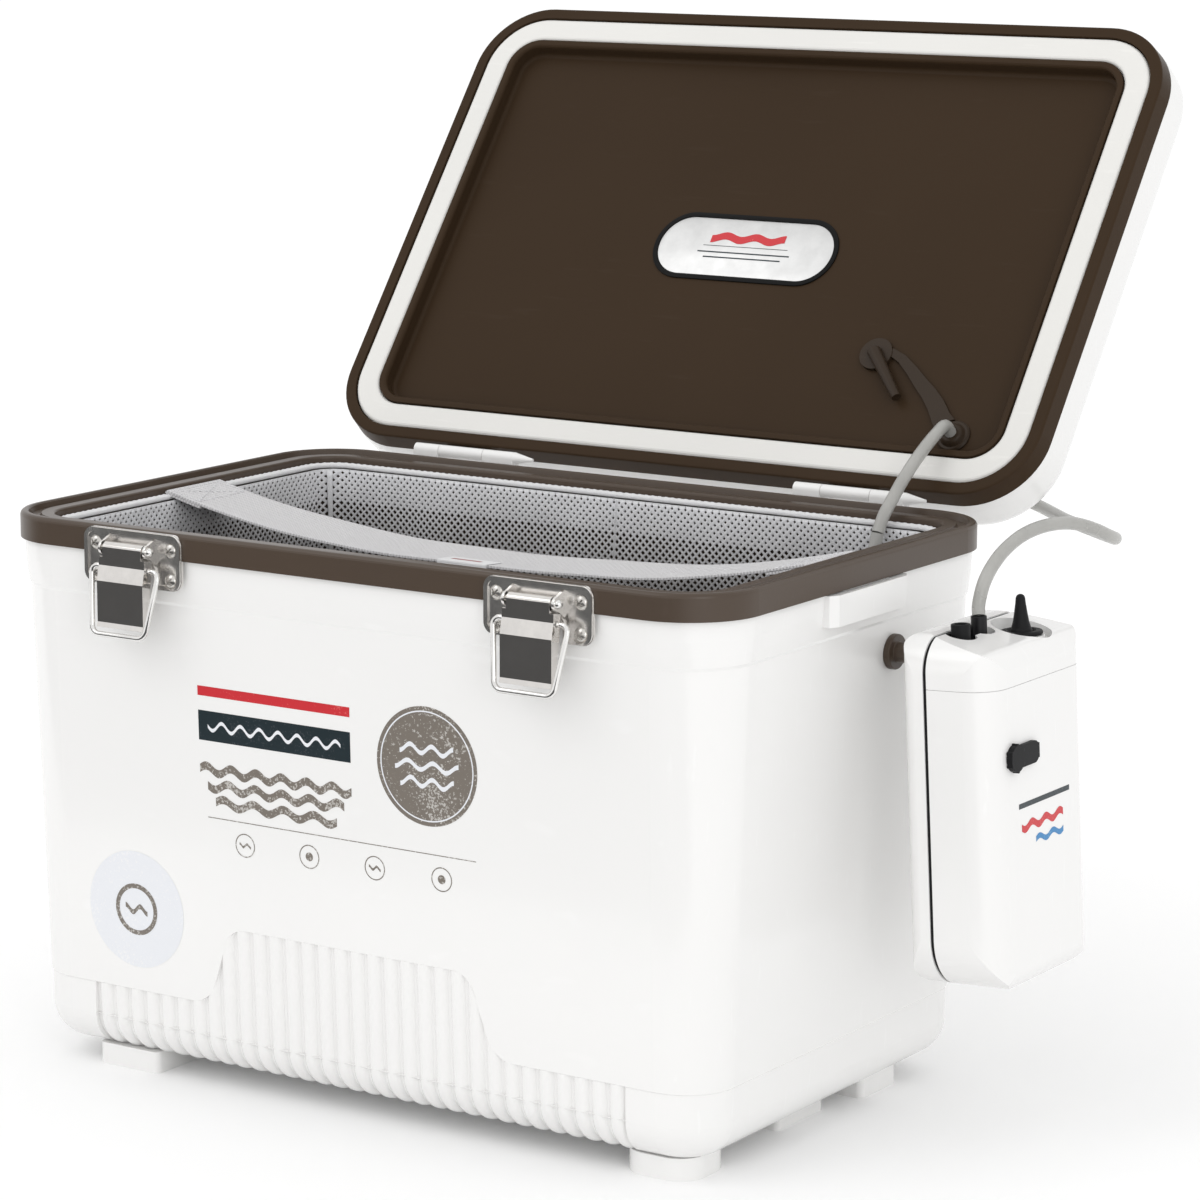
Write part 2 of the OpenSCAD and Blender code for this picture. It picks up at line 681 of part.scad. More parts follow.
// Wire bail: ends turned into the lever's sides, sides that close in towards a straight bottom.
module bail(x) {
    foot = bail_half - (bail_length - 7) * tan(bail_taper);
    half = concat([[lever_half - 2.4, 0]],
        arc([bail_half - 3, -3], 3, 90, -bail_taper, 4),
        arc([foot - 4, 4 - bail_length], 4, -bail_taper, -90, 4));
    last = len(half) - 1;
    whole = concat(half, [for (i = [last : -1 : 0]) [-half[i].x, half[i].y]]);
    color("#D2D2D0") translate([x, bail_pivot.x, bail_pivot.y])
        tube([for (p = whole) [p.x, p.y * sin(bail_lean), p.y * cos(bail_lean)]],
             [1, 0, 0], [1, 0, 0], bail_wire, 12);
}

// ---- net liner ----

module net_bag() {
    z0 = net_floor;
    color("#F4F4F6") {
        loop(cx, cy) polygon(concat(
            [[0, z0]], arc([r_net_low - 4, z0 + 4], 4, 270, 360, 3),
            [[r_net_top, ledge + 0.1], [r_opening - 0.6, ledge + 0.1],
             [r_opening - 0.6, ledge + 0.9], [r_net_top - net_wall, ledge + 0.9]],
            arc([r_net_low - 4, z0 + 4], 4 - net_wall, 360, 270, 3), [[0, z0 + net_wall]]));
        translate([-cx, -cy, z0]) cube([2 * cx, 2 * cy, net_wall]);
    }
}

module net_hem() {
    color("#FFFFFF") loop(cx, cy)
        soft_rect([r_opening - 4.4, ledge + 0.9], [r_opening - 0.5, ledge + 3], [0.6, 1, 1, 1]);
}

// The strap runs from hem to hem and sags; a short flap is folded under at each end.
module net_strap() {
    n = 12;
    function sag(x) = strap_high + strap_thick / 2 - strap_sag * (1 - pow(abs(x / strap_end), 2.6));
    top = [for (i = [-n : n]) let (x = strap_end * i / n) [x, sag(x) + strap_thick / 2]];
    low = [for (i = [n : -1 : -n]) let (x = strap_end * i / n) [x, sag(x) - strap_thick / 2]];
    color("#F8F8F8") {
        along_y(-strap_width / 2, strap_width / 2) polygon(concat(top, low));
        for (s = [-1, 1]) on_side(s)
            translate([strap_end - 3.4, -strap_width / 2, ledge + 3])
                cube([3.4, strap_width, strap_high - ledge - 2.8]);
    }
}

module strap_tag() {
    color("#FDFDFD") translate([-17, -strap_width / 2 - 0.4, strap_high - strap_sag - 8])
        cube([26, 0.4, 10]);
}

module air_stone() {
    color("#8F9DA8") translate([stone.x, stone.y, stone_top]) mirror([0, 0, 1])
        rotate_extrude() polygon(concat(
            [[0, -3], [2.2, -3], [2.4, 0]], arc([5.5, 2], 2, 270, 360, 3),
            arc([5.5, 24], 2, 0, 90, 3), [[0, 26]]));
}

// ---- pump ----

// Pump frame: x away from the wall, y across, z up, with the hanger at its origin.
module on_pump() translate(hanger) rotate([0, -pump_lean, 0]) children();
function pump_point(p) = hanger + [p.x * cos(pump_lean) - p.z * sin(pump_lean), p.y,
                                   p.x * sin(pump_lean) + p.z * cos(pump_lean)];
pump_up = [-sin(pump_lean), 0, cos(pump_lean)];

// The whole case, moved in by t, from its three outlines.
module pump_form(t) {
    w = pump_width / 2 - t;
    d = pump_depth - t;
    lo = -pump_drop + t;
    hi = pump_rise - t;
    fall = atan(top_fall / (pump_depth - top_flat));
    rf = 9 - t;
    rs = rf - 0.03;
    cu = d - rf;
    ch = (hi * cos(fall) + top_flat * sin(fall) - rf - cu * sin(fall)) / cos(fall);
    intersection() {
        rotate([90, 0, 90]) linear_extrude(pump_depth) soft_rect([-w, lo], [w, hi], [22, 22, 15, 15]);
        translate([0, 0, lo - 1]) linear_extrude(hi - lo + 2) soft_rect([t, -w], [d, w], [7, 14, 14, 7]);
        along_y(-w - 1, w + 1) {
            polygon([[t + 6, lo], [d - 8, lo], [d, lo + 8], [d, ch],
                     [cu + rs * sin(fall), ch + rs * cos(fall)], [top_flat, hi - rf + rs],
                     [t + 4, hi - rf + rs], [t, hi - 4], [t, lo + 6]]);
            translate([t + 6, lo + 6]) circle(6);
            translate([d - 8, lo + 8]) circle(8);
            translate([cu, ch]) circle(rf);
            translate([t + 4, hi - 4]) circle(4);
        }
    }
}

module pump_slice(t, u0, u1, h0, h1) {
    intersection() {
        pump_form(t);
        translate([u0, -100, h0]) cube([u1 - u0, 200, h1 - h0]);
    }
}

// Keyhole in the back: the head goes in at the bottom and the neck slides down the slot above it.
module keyhole() {
    for (e = [[3.4, -1, 3.6], [6.7, 2.5, 6.1]])
        translate([e[1], 0, 0]) rotate([90, 0, 90]) linear_extrude(e[2]) {
            circle(e[0]);
            translate([-e[0], -14]) square([2 * e[0], 14]);
            translate([0, -14]) circle(6.9);
        }
}

module pump_back_case() {
    color("#F3F2F0") on_pump() difference() {
        pump_slice(0, 0, seam, -200, 50);
        keyhole();
    }
}

module pump_seal() {
    color("#151515") on_pump() pump_slice(0.6, seam, seam + seal, -200, 50);
}

module pump_front_case() {
    color("#F3F2F0") on_pump() difference() {
        pump_slice(0, seam + seal, 60, -200, cap_low - 0.2);
        translate([pump_depth - 6, port.x, port.y]) rotate([0, 90, 0]) cylinder(r = 3.6, h = 10);
    }
}

module pump_top_cap() {
    color("#F3F2F0") on_pump() {
        difference() {
            pump_slice(0, seam + seal, 60, cap_low, 50);
            translate([toggle.x, toggle.y, 5]) cylinder(r = 12.6, h = 30);
            for (p = [nozzle, spare]) {
                translate([p.x, p.y, 7]) cylinder(r = 6.6, h = 30);
                translate([p.x, p.y, cap_low + 2]) cylinder(r = 2.6, h = 30);
            }
            translate([nozzle.x - 3.6, spare.y, 7]) cube([7.2, nozzle.y - spare.y, 30]);
        }
        difference() {
            translate([toggle.x, toggle.y, 4.5]) cylinder(r = 9.8, h = 4.5);
            translate([toggle.x, toggle.y, 3]) cylinder(r = 6.4, h = 8);
        }
        pump_slice(0.6, seam + seal + 0.6, 60, cap_low - 0.2, cap_low + 0.5);
    }
}

module air_nozzles() {
    color("#1C1C1C") on_pump() for (p = [nozzle, spare]) translate([p.x, p.y, 0]) {
        translate([0, 0, cap_low + 2]) cylinder(r = 2.5, h = 9 - cap_low);
        translate([0, 0, 7]) cylinder(r = 3.6, h = 1.6);
        translate([0, 0, 11]) cylinder(r = 1.8, h = 4);
    }
}

module spare_nozzle_cap() {
    color("#101010") on_pump() translate([spare.x, spare.y, 0]) difference() {
        translate([0, 0, 8.6]) cylinder(r = 4, h = 10);
        translate([0, 0, 8]) cylinder(r = 2.55, h = 3.1);
        translate([0, 0, 11]) cylinder(r = 1.85, h = 4.1);
        translate([0, 0, 17.2]) cylinder(r = 2.6, h = 3);
    }
}

module hose_collar() {
    color("#2B2B2D") on_pump() translate([nozzle.x, nozzle.y, 0]) difference() {
        translate([0, 0, collar_low_h]) cylinder(r = 3.3, h = collar_high_h - collar_low_h);
        translate([0, 0, 8]) cylinder(r = 1.85, h = 7.1);
    }
}

module switch_bezel() {
    color("#101010") on_pump() translate([toggle.x, toggle.y, 0]) rotate_extrude() polygon(concat(
        [[5.5, 9]], arc([8, 10], 1, 270, 450), [[6.3, 11], [5.5, 10.2]]));
}

module switch_boot() {
    color("#101010") on_pump() translate([toggle.x, toggle.y, 9.4]) {
        rotate_extrude() polygon(concat([[0, -3.2], [3.6, -3.2]], arc([0, 0], 4.9, -40, 34, 8),
                                        [[3.4, 5], [2.9, 8], [2.2, 12.6]], arc([0, 14.6], 2, 0, 90, 4)));
        rotate([0, 90, 0]) cylinder(r = 1.5, h = 10.4, center = true);
    }
}

module port_socket() {
    color("#262626") on_pump() translate([pump_depth - 6, port.x, port.y]) rotate([0, 90, 0]) difference() {
        cylinder(r = 3.6, h = 6);
        translate([0, 0, 1.5]) cylinder(r = 2.4, h = 10);
    }
}

// Rubber cap over the socket, with the tab by which it is held.
module port_cap() {
    color("#0E0E0E") on_pump() translate([pump_depth + 0.05, 0, 0]) {
        translate([0, port.x, port.y]) rotate([0, 90, 0]) {
            cylinder(r = 5.5, h = 2.6);
            for (a = [0 : 60 : 300]) rotate(a) translate([5.2, 0, 0]) cylinder(r = 0.9, h = 2.6);
        }
        translate([0, 0, port.y]) rotate([90, 0, 90]) linear_extrude(1.8)
            soft_rect([port.x + 4, -4.6], [port_hinge, 4.6], [1, 4, 4, 1]);
        translate([0.9, port_hinge, port.y - 3]) cylinder(r = 0.88, h = 6);
    }
}

// Spool on the wall of the box that the pump hangs from.
module wall_side() {
    translate([cx + r_wall_top, hanger.y - 20, collar_low]) rotate([0, draft, 0]) translate([-30, 0, -60])
        cube([30, 40, 80]);
}

module pump_screw_hole(r) {
    translate([cx, hanger.y, hanger.z]) rotate([0, 90, 0]) cylinder(r = r, h = 60);
}

module pump_mount() {
    x0 = cx + r_wall_low;
    color("#5A4A3C") difference() {
        translate([x0, hanger.y, hanger.z]) rotate([0, 90, 0]) {
            cylinder(r = 7.5, h = 8);
            cylinder(r = 4.2, h = hanger.x - x0 - 1);
            cylinder(r = 2.9, h = hanger.x - x0 + 4.8);
            translate([0, 0, hanger.x - x0 + 3.2]) cylinder(r = 6, h = 2.2);
        }
        wall_side();
        translate([x0, hanger.y, hanger.z]) rotate([0, 90, 0]) cylinder(r = 1.55, h = 60);
    }
}

module pump_mount_screw() {
    x1 = hanger.x + 5.4;
    color("#B9B9B6") translate([0, hanger.y, hanger.z]) rotate([0, 90, 0]) {
        translate([0, 0, cx + r_wall_low - 8]) cylinder(r = 1.45, h = x1 - cx - r_wall_low + 8);
        translate([0, 0, x1]) cylinder(r = 2.8, h = 1.4);
    }
}

// ---- air hose ----

module hose(p, d0, d1) color("#A9A9A4") tube(p, d0, d1, hose_d, hose_sides);

module hose_outer() {
    a = pump_point([nozzle.x, nozzle.y, collar_high_h]);
    b = lid_point([grommet.x, grommet.y, grommet_high]);
    hose(concat([a], outer_points, [b + 8 * lid_up, b]), pump_up, -lid_up);
}

module hose_drop() {
    a = lid_point([grommet.x, grommet.y, grommet_low]);
    hose(concat([a, a - 6 * lid_up], drop_points, [drop_end]), -lid_up, tail_points[0] - drop_end);
}

module hose_tail() {
    hose(concat([drop_end], tail_points, [[stone.x, stone.y, stone_top + 3]]), tail_points[0] - drop_end,
         [0, 0, -1]);
}

body_shell();
body_foam();
tub_liner();
hinge_pins();
latch_plate(-latch_x);  // latch_plate_left
latch_plate(latch_x);  // latch_plate_right
latch_screws();
latch_pins();
pump_mount();
pump_mount_screw();
lid_shell();
lid_foam();
lid_liner();
lid_gasket();
lid_label_plate();
hose_grommet();
grommet_stopper();
lever(-latch_x);  // lever_left
lever(latch_x);  // lever_right
bail(-latch_x);  // bail_left
bail(latch_x);  // bail_right
net_bag();
net_hem();
net_strap();
strap_tag();
air_stone();
hose_outer();
hose_drop();
hose_tail();
hose_collar();
pump_back_case();
pump_front_case();
pump_top_cap();
pump_seal();
air_nozzles();
spare_nozzle_cap();
switch_bezel();
switch_boot();
port_socket();
port_cap();
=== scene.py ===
"""Dresses the insulated live-bait box: finishes, net liner, strap, air line, soft edges and plain prints.

Everything is in metres, in the part's own frame: z is 0 under the feet, +x points at the pump and -y is
the latch side.
"""

import logging
import math
from dataclasses import dataclass, field
from enum import Enum
from typing import Callable, Sequence

import bmesh
import bpy
from mathutils import Matrix, Vector, noise


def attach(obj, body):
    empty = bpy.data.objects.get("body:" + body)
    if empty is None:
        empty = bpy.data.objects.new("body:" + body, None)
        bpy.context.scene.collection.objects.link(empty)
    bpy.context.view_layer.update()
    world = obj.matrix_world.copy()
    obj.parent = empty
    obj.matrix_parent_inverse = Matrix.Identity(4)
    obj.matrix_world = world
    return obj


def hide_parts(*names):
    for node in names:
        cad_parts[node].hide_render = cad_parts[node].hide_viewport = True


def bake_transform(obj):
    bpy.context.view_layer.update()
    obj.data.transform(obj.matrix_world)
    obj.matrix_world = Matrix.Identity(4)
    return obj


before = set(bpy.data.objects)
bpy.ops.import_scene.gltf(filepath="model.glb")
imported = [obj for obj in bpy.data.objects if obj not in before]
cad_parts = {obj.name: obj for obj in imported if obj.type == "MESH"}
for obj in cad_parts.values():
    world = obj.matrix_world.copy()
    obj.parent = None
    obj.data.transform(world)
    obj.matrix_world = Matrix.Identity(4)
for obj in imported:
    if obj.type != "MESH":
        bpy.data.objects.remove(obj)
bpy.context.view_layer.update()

log = logging.getLogger("bait_box")
MM = 0.001
TOUCH = 2e-6  # vertices nearer than this, in metres, are one
FLAT = math.radians(0.15)  # faces that meet at less than this angle are one
Colour = tuple[float, float, float]
Mesh = bmesh.types.BMesh
Material = bpy.types.Material
Node = bpy.types.Node
Object = bpy.types.Object
Socket = bpy.types.NodeSocket
Tree = bpy.types.NodeTree
Point = tuple[float, float, float]
Pair = tuple[float, float]
Ground = tuple[Callable[[Vector], Vector], str, Vector]


# ---------------------------------------------------------------- sizes shared by the sub-assemblies


@dataclass(frozen=True)
class BoxSizes:
    """Levels of the box in millimetres: each is a rounded rectangle r beyond the same corner centres."""

    corner_x: float = 152.0
    corner_y: float = 85.2
    field_low: float = 39.5
    collar_low: float = 213.0
    wall_low: float = 23.5
    wall_top: float = 28.8

    def wall_y(self, z: float) -> float:
        """Distance of the outer front wall from the middle of the box, at a height, in millimetres."""
        share = (z - self.field_low) / (self.collar_low - self.field_low)
        return self.corner_y + self.wall_low + (self.wall_top - self.wall_low) * share


@dataclass(frozen=True)
class LidPose:
    """Where the open lid stands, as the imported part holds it."""

    hinge_y: float = 124.6
    hinge_z: float = 246.5
    angle: float = 127.0
    seat_y: float = -2.2
    seat_z: float = 245.2
    plate_z: float = 7.5

    def matrix(self) -> Matrix:
        """Matrix from the closed lid's own millimetres to metres in the frame."""
        hinge = Vector((0, self.hinge_y, self.hinge_z))
        turn = Matrix.Translation(hinge) @ Matrix.Rotation(-math.radians(self.angle), 4, "X")
        seat = Matrix.Translation(Vector((0, self.seat_y, self.seat_z)) - hinge)
        return Matrix.Scale(MM, 4) @ turn @ seat


@dataclass(frozen=True)
class PumpPose:
    """Where the pump hangs and how far it leans."""

    hanger: Point = (207.5, 28.9, 200.0)
    lean: float = 3.1

    def matrix(self) -> Matrix:
        """Matrix from the pump's own millimetres to metres in the frame."""
        turn = Matrix.Rotation(-math.radians(self.lean), 4, "Y")
        return Matrix.Scale(MM, 4) @ Matrix.Translation(Vector(self.hanger)) @ turn


BOX = BoxSizes()
LID = LidPose()
PUMP = PumpPose()


# ---------------------------------------------------------------- node trees


class Graph:
    """Adds nodes to one tree and wires them together."""

    def __init__(self, tree: Tree) -> None:
        """Keeps the tree.

        Args:
            tree: the material's or group's node tree.
        """
        self.tree = tree
        self.count = 0

    def add(self, kind: str, inputs: dict | None = None, **settings: object) -> Node:
        """Adds a node.

        Args:
            kind: Blender's node type.
            inputs: value or output socket for each input, by name or number.
            settings: properties set on the node itself.

        Returns:
            The new node.
        """
        node = self.tree.nodes.new(kind)
        node.location = (self.count % 6 * 220, -(self.count // 6) * 260)
        self.count += 1
        for name, value in settings.items():
            setattr(node, name, value)
        for key, value in (inputs or {}).items():
            self.plug(value, node.inputs[key])
        return node

    def plug(self, value: object, socket: Socket) -> None:
        """Links an output to an input, or sets the input's value."""
        if isinstance(value, Socket):
            self.tree.links.new(value, socket)
        else:
            socket.default_value = value

    def feed(self, node: Node, **sockets: object) -> None:
        """Plugs named inputs of a node; an underscore in a name stands for a space."""
        for key, value in sockets.items():
            self.plug(value, node.inputs[key.replace("_", " ")])

    def seen(self) -> Socket:
        """Adds a value that is 1 for what is seen directly, mirrored or through glass, and 0 for light."""
        rays = self.add("ShaderNodeLightPath").outputs
        through = self.maths("MAXIMUM", rays["Is Glossy Ray"], rays["Is Transmission Ray"])
        return self.maths("MAXIMUM", rays["Is Camera Ray"], through)

    def place(self) -> Socket:
        """Adds the object's own coordinates."""
        return self.add("ShaderNodeTexCoord").outputs["Object"]

    def cloud(self, place: Socket, scale: object, detail: float = 2.0, roughness: float = 0.5) -> Socket:
        """Adds a Noise texture and returns its value."""
        sockets = {"Vector": place, "Scale": scale, "Detail": detail, "Roughness": roughness}
        return self.add("ShaderNodeTexNoise", sockets).outputs["Fac"]

    def maths(self, operation: str, a: object, b: object = 0.0, clamp: bool = False) -> Socket:
        """Adds a Math node and returns its output."""
        return self.add("ShaderNodeMath", {0: a, 1: b}, operation=operation, use_clamp=clamp).outputs[0]

    def mix(self, factor: object, a: object, b: object, blend: str = "MIX") -> Socket:
        """Adds a colour Mix node and returns its output."""
        node = self.add("ShaderNodeMix", {0: factor, 6: a, 7: b}, data_type="RGBA", blend_type=blend)
        return node.outputs[2]

    def span(self, value: Socket, low: float, high: float, start: float = 0.0, end: float = 1.0) -> Socket:
        """Adds a clamped Map Range node, from start at low to end at high, and returns its output."""
        sockets = {"Value": value, "From Min": low, "From Max": high, "To Min": start, "To Max": end}
        return self.add("ShaderNodeMapRange", sockets).outputs["Result"]


def new_group(
    name: str, inputs: dict[str, float], outputs: Sequence[str]
) -> tuple[Tree, Graph, Node, Node]:
    """Starts a shader node group.

    Args:
        name: the group's name.
        inputs: float inputs and their defaults.
        outputs: names of the float outputs.

    Returns:
        The tree, a graph on it, its input node and its output node.
    """
    tree = bpy.data.node_groups.new(name, "ShaderNodeTree")
    for label, value in inputs.items():
        socket = tree.interface.new_socket(name=label, in_out="INPUT", socket_type="NodeSocketFloat")
        socket.default_value = value
    for label in outputs:
        tree.interface.new_socket(name=label, in_out="OUTPUT", socket_type="NodeSocketFloat")
    graph = Graph(tree)
    return tree, graph, graph.add("NodeGroupInput"), graph.add("NodeGroupOutput")


class Effects:
    """Shader node groups that several finishes share."""

    def __init__(self) -> None:
        """Builds every group once."""
        self.moulded = self._moulded()
        self.brushed = self._brushed()
        self.weave = self._weave()
        self.dust = self._dust()

    @staticmethod
    def _moulded() -> Tree:
        """Fine texture of a moulding, slow change of tone and faint scuffs."""
        inputs, outputs = {"Scale": 900.0, "Scuffs": 0.5}, ["Height", "Tone", "Scuff"]
        tree, g, given, out = new_group("moulded_surface", inputs, outputs)
        place = g.place()
        fine, slow = g.cloud(place, given.outputs["Scale"], 3.0), g.cloud(place, 9.0)
        turn, stretch = (0.4, 0.7, 0.3), (30.0, 420.0, 60.0)
        turned = g.add("ShaderNodeMapping", {"Vector": place, "Rotation": turn, "Scale": stretch})
        marks = g.span(g.cloud(turned.outputs[0], 1.0), 0.66, 0.74)
        scuff = g.maths("MULTIPLY", marks, given.outputs["Scuffs"])
        g.feed(out, Height=fine, Tone=g.span(slow, 0.3, 0.7), Scuff=scuff)
        return tree

    @staticmethod
    def _brushed() -> Tree:
        """Polishing lines along X, and soft smudges."""
        tree, g, given, out = new_group("brushed_surface", {"Line Scale": 2600.0}, ["Height", "Smudge"])
        place = g.place()
        drawn = g.add("ShaderNodeMapping", {"Vector": place, "Scale": (0.02, 1.0, 1.0)})
        lines = g.cloud(drawn.outputs[0], given.outputs["Line Scale"])
        g.feed(out, Height=lines, Smudge=g.span(g.cloud(place, 120.0, 4.0, 0.6), 0.35, 0.7))
        return tree

    @staticmethod
    def _weave() -> Tree:
        """Plain weave over a UV map laid out in metres."""
        tree, g, given, out = new_group("plain_weave", {"Threads": 900.0}, ["Height", "Gap"])
        uv = g.add("ShaderNodeSeparateXYZ", {0: g.add("ShaderNodeTexCoord").outputs["UV"]})
        turns = g.maths("MULTIPLY", given.outputs["Threads"], math.pi)
        across = g.maths("SINE", g.maths("MULTIPLY", uv.outputs["X"], turns))
        along = g.maths("SINE", g.maths("MULTIPLY", uv.outputs["Y"], turns))
        over = g.maths("MULTIPLY", across, along)
        warp = g.maths("ABSOLUTE", across)
        weft = g.maths("ABSOLUTE", along)
        pick = g.span(over, -0.15, 0.15)
        under = g.maths("MULTIPLY", weft, g.maths("SUBTRACT", 1.0, pick))
        height = g.maths("ADD", g.maths("MULTIPLY", warp, pick), under)
        g.feed(out, Height=height, Gap=g.span(g.maths("MAXIMUM", warp, weft), 0.75, 0.3))
        return tree

    @staticmethod
    def _dust() -> Tree:
        """Small irregular flecks."""
        tree, g, given, out = new_group("flecks", {"Scale": 500.0, "Share": 0.62}, ["Fleck"])
        place = g.place()
        fine = g.maths("MULTIPLY", g.cloud(place, given.outputs["Scale"], 5.0, 0.65), 0.75)
        both = g.maths("ADD", fine, g.maths("MULTIPLY", g.cloud(place, 60.0), 0.25))
        g.feed(out, Fleck=g.span(g.maths("SUBTRACT", both, given.outputs["Share"]), -0.01, 0.01))
        return tree


# ---------------------------------------------------------------- finishes


def rgba(colour: Colour, share: float = 1.0) -> tuple[float, float, float, float]:
    """Colour times a share, with full alpha."""
    return (colour[0] * share, colour[1] * share, colour[2] * share, 1.0)


def start_material(name: str) -> tuple[Material, Graph, Node]:
    """Makes an empty material.

    Args:
        name: the material's name.

    Returns:
        The material, a graph on its tree and its Principled shader.
    """
    material = bpy.data.materials.new(name)
    material.use_nodes = True
    material.node_tree.nodes.clear()
    graph = Graph(material.node_tree)
    output = graph.add("ShaderNodeOutputMaterial")
    shader = graph.add("ShaderNodeBsdfPrincipled")
    graph.tree.links.new(shader.outputs[0], output.inputs[0])
    return material, graph, shader


def use_group(graph: Graph, tree: Tree, **inputs: float) -> Node:
    """Places a shared effect in a material with its own values."""
    node = graph.add("ShaderNodeGroup", node_tree=tree)
    graph.feed(node, **inputs)
    return node


def add_bump(graph: Graph, shader: Node, height: object, distance: float, strength: float = 1.0) -> None:
    """Feeds a height in metres to the shader's normal.

    Args:
        graph: graph of the material.
        shader: its Principled shader.
        height: the height's socket.
        distance: depth of the relief in metres.
        strength: share of the relief that shows.
    """
    bump = graph.add("ShaderNodeBump", {"Height": height, "Distance": distance, "Strength": strength})
    graph.feed(shader, Normal=bump.outputs[0])


@dataclass(frozen=True)
class Moulding:
    """Moulded plastic or rubber."""

    name: str
    colour: Colour
    roughness: float
    shade: float = 0.94
    coat: float = 0.0
    grain: float = 900.0
    depth: float = 0.00004
    scuffs: float = 0.4
    sheen: float = 0.0
    shine: float = 0.5

    def build(self, effects: Effects) -> Material:
        """Makes the material."""
        material, g, shader = start_material(self.name)
        surface = use_group(g, effects.moulded, Scale=self.grain, Scuffs=self.scuffs)
        tone = g.mix(surface.outputs["Tone"], rgba(self.colour, self.shade), rgba(self.colour))
        scuffed = tuple(min(1.0, c * 1.15 + 0.02) for c in self.colour)
        lifted = g.mix(surface.outputs["Scuff"], tone, rgba(scuffed))
        g.feed(shader, Base_Color=lifted)
        rough = g.span(surface.outputs["Tone"], 0.0, 1.0, self.roughness * 1.12, self.roughness * 0.9)
        rubbed = g.maths("MULTIPLY", surface.outputs["Scuff"], 0.12)
        g.feed(shader, Roughness=g.maths("ADD", rough, rubbed), Specular_IOR_Level=self.shine)
        g.feed(shader, Coat_Weight=self.coat, Coat_Roughness=0.08, Sheen_Weight=self.sheen)
        add_bump(g, shader, surface.outputs["Height"], self.depth)
        return material


@dataclass(frozen=True)
class Steel:
    """Polished or plated metal."""

    name: str
    colour: Colour
    roughness: float
    smear: float = 0.1
    lines: float = 2600.0
    depth: float = 0.000004

    def build(self, effects: Effects) -> Material:
        """Makes the material."""
        material, g, shader = start_material(self.name)
        surface = use_group(g, effects.brushed, Line_Scale=self.lines)
        smudge = surface.outputs["Smudge"]
        g.feed(shader, Base_Color=g.mix(smudge, rgba(self.colour), rgba(self.colour, 0.9)))
        g.feed(shader, Roughness=g.span(smudge, 0.0, 1.0, self.roughness, self.roughness + self.smear))
        g.feed(shader, Metallic=1.0)
        add_bump(g, shader, surface.outputs["Height"], self.depth)
        return material


@dataclass(frozen=True)
class Cloth:
    """Woven cloth over a UV map in metres; the gaps between its threads are painted darker, as painted
    shade.
    """

    name: str
    colour: Colour
    threads: float
    # share of the colour left in the weave's gaps: painted shade
    shade: float = 0.72
    depth: float = 0.0002

    def build(self, effects: Effects) -> Material:
        """Makes the material."""
        material, g, shader = start_material(self.name)
        woven = use_group(g, effects.weave, Threads=self.threads)
        flecks = use_group(g, effects.dust, Scale=260.0, Share=0.66)
        # painted shade: the weave's gaps take the darker colour
        ground = g.mix(woven.outputs["Gap"], rgba(self.colour), rgba(self.colour, self.shade))
        soiled = g.mix(g.maths("MULTIPLY", flecks.outputs["Fleck"], 0.25), ground, rgba(self.colour, 0.8))
        g.feed(shader, Base_Color=soiled, Roughness=0.82, Sheen_Weight=0.35, Sheen_Roughness=0.5)
        add_bump(g, shader, woven.outputs["Height"], self.depth)
        return material


@dataclass(frozen=True)
class Knit:
    """Yarn of the net, whose holes are real; towards the bottom of the box its colour is painted darker, as
    painted shade.
    """

    name: str
    colour: Colour
    # painted shade low in the box: its colour, and the heights between which it fades in
    painted_shade: Colour
    lit_from: float = 0.236
    shaded_to: float = 0.192

    def build(self, effects: Effects) -> Material:
        """Makes the material."""
        material, g, shader = start_material(self.name)
        place = g.place()
        yarn, slow = g.cloud(place, 2200.0), g.cloud(place, 14.0)
        # painted shade: the yarn's colour darkens downwards between two heights, with a little noise along
        # the edge, in place of the shade inside the box
        place_z = g.add("ShaderNodeSeparateXYZ", {0: place}).outputs["Z"]
        shift = g.maths("MULTIPLY", g.maths("SUBTRACT", slow, 0.5), 0.03)
        edge = g.maths("ADD", place_z, shift)
        ground = g.mix(g.span(edge, self.shaded_to, self.lit_from), rgba(self.painted_shade), rgba(self.colour))
        shaded = g.mix(g.span(yarn, 0.3, 0.7), (0.82, 0.82, 0.82, 1.0), (1.0, 1.0, 1.0, 1.0))
        tinted = g.mix(1.0, ground, shaded, "MULTIPLY")
        g.feed(shader, Base_Color=tinted, Roughness=0.7, Sheen_Weight=0.3)
        add_bump(g, shader, yarn, 0.0002)
        return material


@dataclass(frozen=True)
class Tubing:
    """Milky flexible hose."""

    name: str
    colour: Colour

    def build(self, effects: Effects) -> Material:
        """Makes the material."""
        material, g, shader = start_material(self.name)
        haze = g.cloud(g.place(), 70.0, 3.0)
        tone = g.mix(g.span(haze, 0.3, 0.7), rgba(self.colour, 0.88), rgba(self.colour))
        g.feed(shader, Base_Color=tone, Roughness=g.span(haze, 0.3, 0.7, 0.26, 0.38))
        g.feed(shader, IOR=1.42, Transmission_Weight=0.2, Coat_Weight=0.25)
        add_bump(g, shader, haze, 0.0002)
        return material


@dataclass(frozen=True)
class Grit:
    """Porous stone or foam."""

    name: str
    colour: Colour
    dark: Colour
    scale: float
    depth: float

    def build(self, effects: Effects) -> Material:
        """Makes the material."""
        material, g, shader = start_material(self.name)
        flecks = use_group(g, effects.dust, Scale=self.scale, Share=0.55)
        pores = g.add("ShaderNodeTexVoronoi", {"Vector": g.place(), "Scale": self.scale * 1.6})
        g.feed(shader, Base_Color=g.mix(flecks.outputs["Fleck"], rgba(self.colour), rgba(self.dark)))
        g.feed(shader, Roughness=0.9)
        add_bump(g, shader, pores.outputs["Distance"], self.depth)
        return material


